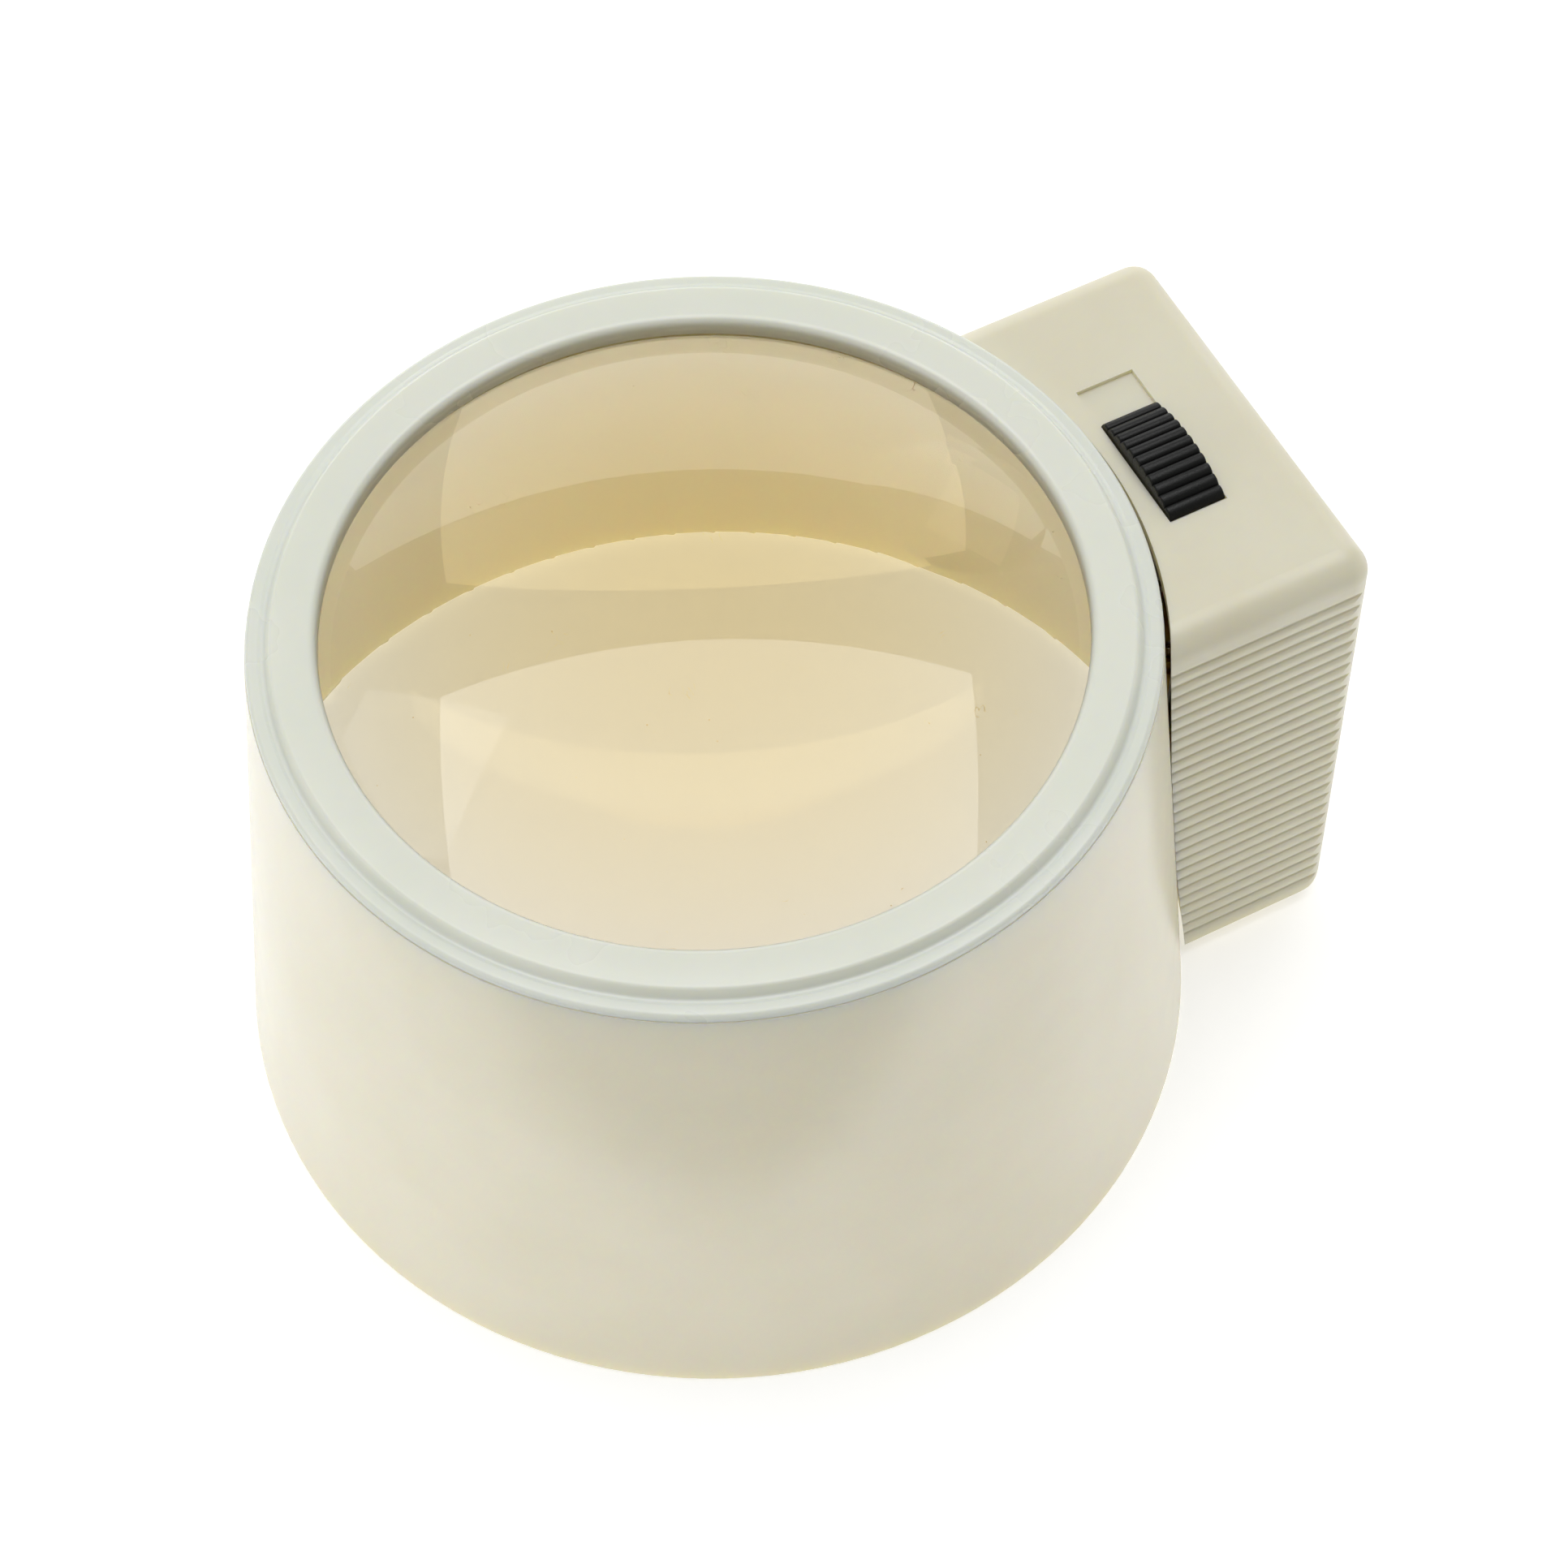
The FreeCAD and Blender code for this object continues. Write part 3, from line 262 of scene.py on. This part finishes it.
def dust(tree, place, spacing, size):
    """1 in round specks: the middle of about one cell in three of a pattern this many millimetres wide."""
    cells = add_node(tree, "ShaderNodeTexVoronoi", inputs={"Vector": place, "Scale": per_metre(spacing)})
    near = spread(tree, cells.outputs["Distance"], size / spacing * 0.5, size / spacing, 1.0, 0.0)
    chosen = spread(tree, cells.outputs["Color"], 0.62, 0.66, 0.0, 1.0)
    return add_node(tree, "ShaderNodeMath", {"operation": "MULTIPLY"}, {0: near, 1: chosen}).outputs[0]


def polished_acrylic(name, tint, depth):
    """Clear acrylic that takes tint over this many millimetres, with sparse lint and short curved hair
    scratches. A scratch is where one pattern is within a hair of its middle value and a slower one is
    high."""
    material, tree, shader, place = new_material(name)
    line = add_node(
        tree, "ShaderNodeTexNoise",
        inputs={"Vector": place, "Scale": per_metre(3.2), "Detail": 2.0, "Distortion": 1.2},
    ).outputs["Fac"]
    where = add_node(tree, "ShaderNodeTexNoise", inputs={"Vector": place, "Scale": per_metre(7)}).outputs["Fac"]
    off_middle = add_node(tree, "ShaderNodeMath", {"operation": "SUBTRACT"}, {0: line, 1: 0.5}).outputs[0]
    distance = add_node(tree, "ShaderNodeMath", {"operation": "ABSOLUTE"}, {0: off_middle}).outputs[0]
    hair = spread(tree, distance, 0.0015, 0.0035, 1.0, 0.0)
    patch = spread(tree, where, 0.66, 0.69, 0.0, 1.0)
    scratch = add_node(tree, "ShaderNodeMath", {"operation": "MULTIPLY"}, {0: hair, 1: patch}).outputs[0]
    lint = dust(tree, place, spacing=2.6, size=0.12)
    mark = add_node(tree, "ShaderNodeMath", {"operation": "MAXIMUM"}, {0: scratch, 1: lint}).outputs[0]
    tree.links.new(blend_colours(tree, mark, "#ffffff", "#c9b894"), shader.inputs["Base Color"])
    tree.links.new(spread(tree, mark, 0.0, 1.0, 0.0, 0.35), shader.inputs["Roughness"])
    shader.inputs["IOR"].default_value = ACRYLIC_REFRACTION
    shader.inputs["Transmission Weight"].default_value = 1.0
    absorption = {"Color": linear(tint), "Density": 1 / (depth * MM)}
    body = add_node(tree, "ShaderNodeVolumeAbsorption", inputs=absorption)
    output = next(node for node in tree.nodes if node.type == "OUTPUT_MATERIAL")
    tree.links.new(body.outputs[0], output.inputs["Volume"])
    return material


lens.data.materials.append(polished_acrylic("cast_acrylic", "#f6e4a0", depth=15))
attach(lens, "stand")
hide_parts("lens")


# Retaining ring: moulded in white ABS and pressed into the stand's mouth over the lens. It is whiter than the
# stand, with a raised band round the lens, a soft step down and a thin rounded flange about as wide as the
# stand.

RING_STEP_RADIUS = 41.9 * MM
SKIRT_RADIUS = 41.9 * MM
FLANGE_HEIGHT = 62.0 * MM
LENS_GAP = 0.1 * MM
LENS_SIDE_GAP = 0.6 * MM
STAND_GAP = 0.03 * MM
BAND_INNER_ROUND = 0.9 * MM
BAND_OUTER_ROUND = 0.5 * MM
SKIRT_ROUND = 0.1 * MM
RING_POINTS = 320


def rounded_outline(corners, steps=7):
    """A closed outline whose corners are arcs. A corner (x, y, radius) is cut back along both sides by radius
    over the tangent of half its angle, and the arc runs between the cuts about the centre on the angle's
    middle line."""
    outline = []
    count = len(corners)
    for number, (x, y, radius) in enumerate(corners):
        corner = np.array([x, y])
        before = np.array(corners[number - 1][:2]) - corner
        after = np.array(corners[(number + 1) % count][:2]) - corner
        before, after = before / np.linalg.norm(before), after / np.linalg.norm(after)
        half = math.acos(np.clip(before @ after, -1, 1)) / 2
        if radius == 0 or half > math.radians(89.5):
            outline.append(corner)
            continue
        centre = corner + (before + after) / np.linalg.norm(before + after) * radius / math.sin(half)
        start = corner + before * radius / math.tan(half) - centre
        end = corner + after * radius / math.tan(half) - centre
        sweep = math.pi - 2 * half
        share = np.linspace(0, 1, steps)[:, None]
        blend = np.sin((1 - share) * sweep) * start + np.sin(share * sweep) * end
        outline.extend(centre + blend / math.sin(sweep))
    return np.array(outline)


def turned(name, outline, around, ends="joined"):
    """A piece turned about the lens axis from an outline of (radius, height)."""
    return loft(name, circles(0.0, outline[:, 0], outline[:, 1], around), ends)


ring_low, ring_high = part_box("retaining_ring")
stand_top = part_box("stand_body")[1].z
ring_outline = rounded_outline([
    (OPENING_RADIUS, RIM_HEIGHT + LENS_GAP, 0.0),
    (OPENING_RADIUS, ring_high.z, BAND_INNER_ROUND),
    (RING_STEP_RADIUS, ring_high.z, BAND_OUTER_ROUND),
    (RING_STEP_RADIUS + 0.62 * MM, FLANGE_HEIGHT - 0.12 * MM, 0.45 * MM),
    (RING_STEP_RADIUS + 1.0 * MM, FLANGE_HEIGHT - 0.1 * MM, 0.2 * MM),
    (RING_STEP_RADIUS + 1.25 * MM, FLANGE_HEIGHT, 0.2 * MM),
    (ring_high.x, FLANGE_HEIGHT, 0.5 * MM),
    (ring_high.x, stand_top + STAND_GAP, 0.08 * MM),
    (SKIRT_RADIUS, stand_top + STAND_GAP, 0.0),
    (SKIRT_RADIUS, ring_low.z, SKIRT_ROUND),
    (lens_radius + LENS_SIDE_GAP, ring_low.z, SKIRT_ROUND),
    (lens_radius + LENS_SIDE_GAP, RIM_HEIGHT + LENS_GAP, 0.0),
])
ring = turned("retaining_ring_band", ring_outline, RING_POINTS)
white_abs = moulded_plastic("white_abs_satin", "#e3e5d9", "#dfe2d5", gloss=0.30, wave=3.0, milk=0.3)
ring.data.materials.append(white_abs)
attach(ring, "stand")
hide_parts("retaining_ring")


# Battery case and its sliding door: moulded in a yellower ivory ABS, a little less glossy than the stand,
# with level finger grooves on both sides.

case_abs = moulded_plastic("ivory_abs_satin", "#e0dbc5", "#dcd6be", gloss=0.36, wave=4.0, milk=0.4)
paint("battery_case", case_abs)
paint("battery_door", case_abs)


# Slide switch: a black ridged thumb knob of textured ABS on the stem of a black slider, in a folded steel
# cover that is closed below by a brown paper laminate with three brass pins.

RIDGES = 11
RIDGE_DEPTH = 0.42 * MM
RIDGE_REACH = 0.97
KNOB_END_HEIGHT = 60.3 * MM
SIDE_ROUND = 0.22 * MM
POINTS_PER_RIDGE = 16
END_CLEARANCE = 0.03 * MM

knob_low, knob_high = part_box("switch_knob")


def knob_height(along):
    """The crown is an arc through the knob's top and both end heights. Each ridge on it is the upper part of
    a circle: its height falls by the depth times 1 less the root of 1 less t squared, over the same at t =
    RIDGE_REACH, t being minus to plus RIDGE_REACH across a ridge."""
    half = (knob_high.y - knob_low.y) / 2
    rise = knob_high.z - KNOB_END_HEIGHT
    curve = (half**2 + rise**2) / (2 * rise)
    middle = (knob_high.y + knob_low.y) / 2
    crown = knob_high.z - curve + np.sqrt(curve**2 - (along - middle) ** 2)
    turn = (along - knob_low.y) / (2 * half) * RIDGES
    across = (turn - np.floor(np.clip(turn, 0, RIDGES - 1e-9)) - 0.5) * 2 * RIDGE_REACH
    return crown - RIDGE_DEPTH * (1 - np.sqrt(1 - across**2)) / (1 - math.sqrt(1 - RIDGE_REACH**2))


def knob_section(height):
    """One cross-section of the knob: upright sides, rounded upper edges and a flat underside."""
    return rounded_outline([
        (knob_low.x, knob_low.z, 0.05 * MM),
        (knob_high.x, knob_low.z, 0.05 * MM),
        (knob_high.x, height, SIDE_ROUND),
        (knob_low.x, height, SIDE_ROUND),
    ])


step = (knob_high.y - knob_low.y) / RIDGES
within = (1 - np.cos(np.linspace(0, math.pi, POINTS_PER_RIDGE, endpoint=False))) / 2
along = np.append((np.arange(RIDGES)[:, None] + within).ravel() * step + knob_low.y, knob_high.y)
along = np.clip(along, knob_low.y + END_CLEARANCE, knob_high.y - END_CLEARANCE)
sections = []
for place_y, height in zip(along, knob_height(along)):
    section = knob_section(height)
    sections.append(np.stack([section[:, 0], np.full(len(section), place_y), section[:, 1]], axis=-1))
knob = loft("switch_knob_ridged", np.array(sections)[::-1], "poles")


def textured_black(name, grain, height, gloss):
    """Black ABS from a spark-eroded mould: grain is the width of its pits in millimetres and height their
    depth in microns. The raised parts are smoother than the pits, as thumbs polish them, and the colour is
    paler on the raised parts than in the pits."""
    material, tree, shader, place = new_material(name)
    pits = add_node(
        tree, "ShaderNodeTexNoise", inputs={"Vector": place, "Scale": per_metre(grain), "Detail": 3.0}
    ).outputs["Fac"]
    colour = blend_colours(tree, spread(tree, pits, 0.4, 0.68, 0.0, 1.0), "#080908", "#161715")
    bump = add_node(
        tree, "ShaderNodeBump", inputs={"Height": pits, "Distance": height * MICRON, "Strength": 1.0}
    )
    tree.links.new(colour, shader.inputs["Base Color"])
    tree.links.new(spread(tree, pits, 0.35, 0.65, gloss * 1.2, gloss * 0.85), shader.inputs["Roughness"])
    tree.links.new(bump.outputs[0], shader.inputs["Normal"])
    shader.inputs["IOR"].default_value = 1.52
    shader.inputs["Specular IOR Level"].default_value = 0.3
    return material


black_abs = textured_black("black_abs_textured", grain=0.16, height=22, gloss=0.42)
knob.data.materials.append(black_abs)
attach(knob, "switch")
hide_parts("switch_knob")
paint("switch_slider", black_abs)


# Plated steel: the switch's folded cover, the door's strip, the cells' contacts and spring, and the screws.
# They are rolled or drawn and nickel plated, and rolling leaves fine lines along the strip.

def rolled_metal(name, colour, shade, gloss, line_width, stretch):
    """Metal with rolling lines: noise squeezed to line_width millimetres across X and drawn out along Y by
    stretch."""
    material, tree, shader, place = new_material(name)
    drawn = add_node(tree, "ShaderNodeMapping", inputs={"Vector": place, "Scale": (stretch, 1.0, stretch)})
    lines = add_node(
        tree, "ShaderNodeTexNoise",
        inputs={"Vector": drawn.outputs[0], "Scale": per_metre(line_width * stretch), "Detail": 2.0},
    ).outputs["Fac"]
    stain = add_node(
        tree, "ShaderNodeTexNoise", inputs={"Vector": place, "Scale": per_metre(6), "Detail": 3.0}
    ).outputs["Fac"]
    bump = add_node(tree, "ShaderNodeBump", inputs={"Height": lines, "Distance": 2 * MICRON, "Strength": 0.6})
    tree.links.new(blend_colours(tree, spread(tree, stain, 0.4, 0.7, 0.0, 1.0), colour, shade),
                   shader.inputs["Base Color"])
    tree.links.new(spread(tree, stain, 0.3, 0.7, gloss * 0.8, gloss * 1.3), shader.inputs["Roughness"])
    tree.links.new(bump.outputs[0], shader.inputs["Normal"])
    shader.inputs["Metallic"].default_value = 1.0
    return material


nickel_plate = rolled_metal("steel_nickel_plated", "#cfcdc6", "#b4b0a6", gloss=0.24, line_width=0.25, stretch=8)
for part in (
    "switch_cover", "door_contact_strip", "positive_contact", "negative_contact", "cell_spring", "case_screws",
    "carrier_screws",
):
    paint(part, nickel_plate)


# Switch base: a punched brown paper laminate, with brass terminals and a brass wiper. The lamp's sleeve,
# centre contact and cap are pressed from the same brass.

def pressed_board(name, colour, fibre):
    """Resin-bonded paper: a fine fibre pattern darkens the resin colour."""
    material, tree, shader, place = new_material(name)
    fibres = add_node(
        tree, "ShaderNodeTexNoise",
        inputs={"Vector": place, "Scale": per_metre(0.5), "Detail": 4.0, "Distortion": 1.0},
    ).outputs["Fac"]
    bump = add_node(tree, "ShaderNodeBump", inputs={"Height": fibres, "Distance": 5 * MICRON, "Strength": 0.6})
    tree.links.new(blend_colours(tree, fibres, colour, fibre), shader.inputs["Base Color"])
    tree.links.new(spread(tree, fibres, 0.3, 0.7, 0.42, 0.55), shader.inputs["Roughness"])
    tree.links.new(bump.outputs[0], shader.inputs["Normal"])
    shader.inputs["IOR"].default_value = 1.55
    return material


paint("switch_base", pressed_board("paper_laminate", "#6b4327", "#4f2f1b"))
brass = rolled_metal("brass_strip", "#d8b466", "#a98445", gloss=0.3, line_width=0.25, stretch=8)
for part in ("switch_terminals", "switch_wiper", "lamp_centre_contact", "lamp_sleeve", "bulb_cap"):
    paint(part, brass)


# Lamp: a small screw-in bulb in front of a pressed aluminium reflector, behind a window of clear
# polycarbonate set in the stand's wall. The block under it and the carrier of the cell contacts are natural
# nylon.

def clear_moulding(name, tint, refraction, gloss):
    """Clear material with a faint tint and a slight haze in patches."""
    material, tree, shader, place = new_material(name)
    haze = add_node(
        tree, "ShaderNodeTexNoise", inputs={"Vector": place, "Scale": per_metre(4), "Detail": 2.0}
    ).outputs["Fac"]
    bump = add_node(tree, "ShaderNodeBump", inputs={"Height": haze, "Distance": 4 * MICRON, "Strength": 0.5})
    tree.links.new(blend_colours(tree, haze, tint, "#f4f2ea"), shader.inputs["Base Color"])
    tree.links.new(spread(tree, haze, 0.35, 0.65, gloss * 0.6, gloss * 1.4), shader.inputs["Roughness"])
    tree.links.new(bump.outputs[0], shader.inputs["Normal"])
    shader.inputs["IOR"].default_value = refraction
    shader.inputs["Transmission Weight"].default_value = 1.0
    return material


polycarbonate = clear_moulding("clear_polycarbonate", "#f1efe6", refraction=1.58, gloss=0.06)
soda_glass = clear_moulding("soda_glass", "#fbfbf6", refraction=1.52, gloss=0.02)
tungsten = rolled_metal("tungsten_wire", "#8f8c88", "#6f6c69", gloss=0.4, line_width=0.1, stretch=2)
aluminium = rolled_metal("aluminium_bright", "#e3e3e1", "#cfcfcd", gloss=0.12, line_width=0.3, stretch=4)
white_nylon = moulded_plastic("natural_nylon", "#d8d3c2", "#cdc7b3", gloss=0.42, wave=3.0, milk=0.15)
paint("lamp_window", polycarbonate)
paint("bulb_glass", soda_glass)
paint("bulb_filament", tungsten)
paint("lamp_reflector", aluminium)
paint("lamp_block", white_nylon)
paint("contact_carrier", white_nylon)


# Cells: two slim round cells, one each way up, in a plain printed foil jacket with bare steel ends.

def foil_jacket(name, colour, band, low, high):
    """Shrink-fitted foil round a steel can: bare metal beyond the heights low and high, where Z is the cell's
    length, and a plain band of a second colour at its upper quarter."""
    material, tree, shader, place = new_material(name)
    up = add_node(tree, "ShaderNodeSeparateXYZ", inputs={"Vector": place}).outputs[2]
    wear = add_node(
        tree, "ShaderNodeTexNoise", inputs={"Vector": place, "Scale": per_metre(2.5), "Detail": 3.0}
    ).outputs["Fac"]
    soft = 0.05 * MM
    above = spread(tree, up, low, low + soft, 0.0, 1.0)
    under = spread(tree, up, high - soft, high, 1.0, 0.0)
    jacket = add_node(tree, "ShaderNodeMath", {"operation": "MULTIPLY"}, {0: above, 1: under}).outputs[0]
    line = high - (high - low) * 0.25
    printed = blend_colours(tree, spread(tree, up, line, line + soft, 0.0, 1.0), colour, band)
    worn = blend_colours(tree, spread(tree, wear, 0.6, 0.75, 0.0, 0.35), printed, "#8d8a83")
    tree.links.new(blend_colours(tree, jacket, "#c9c7c1", worn), shader.inputs["Base Color"])
    tree.links.new(spread(tree, jacket, 0.0, 1.0, 1.0, 0.35), shader.inputs["Metallic"])
    tree.links.new(spread(tree, wear, 0.3, 0.7, 0.25, 0.4), shader.inputs["Roughness"])
    return material


BARE_END = 1.6 * MM
for part in ("cell_upright", "cell_inverted"):
    cell_low, cell_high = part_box(part)
    jacket_low, jacket_high = cell_low.z + BARE_END, cell_high.z - BARE_END
    paint(part, foil_jacket("foil_jacket_" + part, "#3c4a58", "#b5793c", jacket_low, jacket_high))


# Wires: stranded copper in thin red and black sleeves of PVC, soldered to the strips at both ends.

def extruded_sleeve(name, colour, shade):
    """Soft PVC: a slow drift of colour and a slightly uneven satin surface."""
    material, tree, shader, place = new_material(name)
    drift = add_node(
        tree, "ShaderNodeTexNoise", inputs={"Vector": place, "Scale": per_metre(3), "Detail": 2.0}
    ).outputs["Fac"]
    bump = add_node(tree, "ShaderNodeBump", inputs={"Height": drift, "Distance": 15 * MICRON, "Strength": 0.5})
    tree.links.new(blend_colours(tree, drift, colour, shade), shader.inputs["Base Color"])
    tree.links.new(spread(tree, drift, 0.3, 0.7, 0.38, 0.5), shader.inputs["Roughness"])
    tree.links.new(bump.outputs[0], shader.inputs["Normal"])
    shader.inputs["IOR"].default_value = 1.53
    return material


red_pvc = extruded_sleeve("pvc_red", "#a3241d", "#8b1c17")
paint("wire_cell_to_switch", red_pvc)
paint("wire_switch_to_lamp", red_pvc)
paint("wire_lamp_to_cell", extruded_sleeve("pvc_black", "#22211f", "#171716"))


# Camera: above and in front of the object, a little to the side away from the battery case.

CAMERA_PLACE = (-0.1060, -0.2260, 0.4011)
CAMERA_TURN = math.radians(-26.84)
CAMERA_DOWN = math.radians(55.78)
CAMERA_ROLL = math.radians(-1.0)
LENS_MILLIMETRES = 99.95
SENSOR_MILLIMETRES = 36.0

scene = bpy.context.scene
camera = bpy.data.objects.new("camera", bpy.data.cameras.new("camera"))
camera.data.lens = LENS_MILLIMETRES
camera.data.sensor_width = SENSOR_MILLIMETRES
turn = Matrix.Rotation(CAMERA_TURN, 4, "Z")
tilt = Matrix.Rotation(math.pi / 2 - CAMERA_DOWN, 4, "X")
roll = Matrix.Rotation(CAMERA_ROLL, 4, "Z")
camera.matrix_world = Matrix.Translation(CAMERA_PLACE) @ turn @ tilt @ roll
scene.collection.objects.link(camera)
scene.camera = camera


# Floor and light: a white table that glows a little, a broad soft ceiling, a white panel behind, one at each
# side and a small key. A black flag lies in front, out of the frame, hidden from the camera, from shadows and
# diffuse light. Only reflections see it, so it paints a dark reflection of shade into the stand's glossy front.

FLOOR_SIZE = 6.0
FLOOR_LEVEL = -0.02 * MM
PAPER_WHITE = 0.86
PAPER_GLOW = 0.40
FLAG_HALF_WIDTH = 0.5
FLAG_NEAR_EDGE = 74.8 * MM
FLAG_FAR_EDGE = 673.8 * MM
FLAG_LEVEL = 0.5 * MM
FLAG_TURN = math.radians(-28.4)
FLAG_BLACK = 0.01
WORLD_GLOW = 0.14
PANEL_DISTANCE = 1.6
MIDDLE = np.array([0.0, 0.0, 0.03])


def toward(azimuth, elevation):
    """The direction at this azimuth, turned from +Y towards +X, and this elevation, both in degrees."""
    azimuth, elevation = math.radians(azimuth), math.radians(elevation)
    level = math.cos(elevation)
    return np.array([math.sin(azimuth) * level, math.cos(azimuth) * level, math.sin(elevation)])


def panel(name, azimuth, elevation, width, height, radiance):
    """A soft panel that faces the object. A panel's power is its radiance times pi times its area."""
    light = bpy.data.lights.new(name, "AREA")
    light.shape = "RECTANGLE"
    light.size = width
    light.size_y = height
    light.energy = radiance * math.pi * width * height
    holder = bpy.data.objects.new(name, light)
    away = toward(azimuth, elevation)
    right = np.cross((0, 0, 1.0), away)
    right = right / np.linalg.norm(right)
    up = np.cross(away, right)
    place = MIDDLE + away * PANEL_DISTANCE
    rows = [[right[i], up[i], away[i], place[i]] for i in range(3)]
    holder.matrix_world = Matrix([*rows, (0, 0, 0, 1)])
    holder.visible_camera = False
    scene.collection.objects.link(holder)
    return holder


floor_mesh = bpy.data.meshes.new("floor")
half = FLOOR_SIZE / 2
floor_mesh.from_pydata(
    [(x, y, FLOOR_LEVEL) for x, y in ((-half, -half), (half, -half), (half, half), (-half, half))],
    [], [(0, 1, 2, 3)],
)
floor = bpy.data.objects.new("floor", floor_mesh)
scene.collection.objects.link(floor)
paper, tree, shader, place = new_material("white_paper")
shader.inputs["Base Color"].default_value = (PAPER_WHITE, PAPER_WHITE, PAPER_WHITE, 1.0)
shader.inputs["Roughness"].default_value = 0.9
shader.inputs["Specular IOR Level"].default_value = 0.1
shader.inputs["Emission Color"].default_value = (1.0, 1.0, 1.0, 1.0)
shader.inputs["Emission Strength"].default_value = PAPER_GLOW
floor_mesh.materials.append(paper)

# The flag is a black sheet seen only in reflections: it paints a dark reflection of shade on the stand's front.
flag_mesh = bpy.data.meshes.new("flag")
flag_ends = ((-1, FLAG_NEAR_EDGE), (1, FLAG_NEAR_EDGE), (1, FLAG_FAR_EDGE), (-1, FLAG_FAR_EDGE))
flag_mesh.from_pydata(
    [(side * FLAG_HALF_WIDTH, -edge_at, FLAG_LEVEL) for side, edge_at in flag_ends], [], [(0, 3, 2, 1)]
)
flag = bpy.data.objects.new("flag", flag_mesh)
flag_mesh.transform(Matrix.Rotation(FLAG_TURN, 4, "Z"))
scene.collection.objects.link(flag)
black, tree, shader, place = new_material("black_card_painted_reflection")
shader.inputs["Base Color"].default_value = (FLAG_BLACK, FLAG_BLACK, FLAG_BLACK, 1.0)
shader.inputs["Specular IOR Level"].default_value = 0.0
shader.inputs["Roughness"].default_value = 1.0
flag_mesh.materials.append(black)
flag.visible_camera = False
flag.visible_shadow = False
flag.visible_diffuse = False

panel("ceiling", azimuth=25, elevation=84, width=1.8, height=1.35, radiance=2.75)
panel("back", azimuth=27, elevation=19, width=2.16, height=0.95, radiance=1.4)
panel("key", azimuth=-37, elevation=52, width=0.5, height=0.5, radiance=1.0)
panel("left", azimuth=-95, elevation=14, width=2.0, height=0.9, radiance=1.15)
panel("right", azimuth=112, elevation=12, width=1.2, height=0.8, radiance=0.75)

world = bpy.data.worlds.new("studio")
world.use_nodes = True
world.node_tree.nodes["Background"].inputs["Color"].default_value = (1.0, 1.0, 1.0, 1.0)
world.node_tree.nodes["Background"].inputs["Strength"].default_value = WORLD_GLOW
scene.world = world
scene.view_settings.view_transform = "Standard"
scene.cycles.max_bounces = 24
scene.cycles.diffuse_bounces = 12
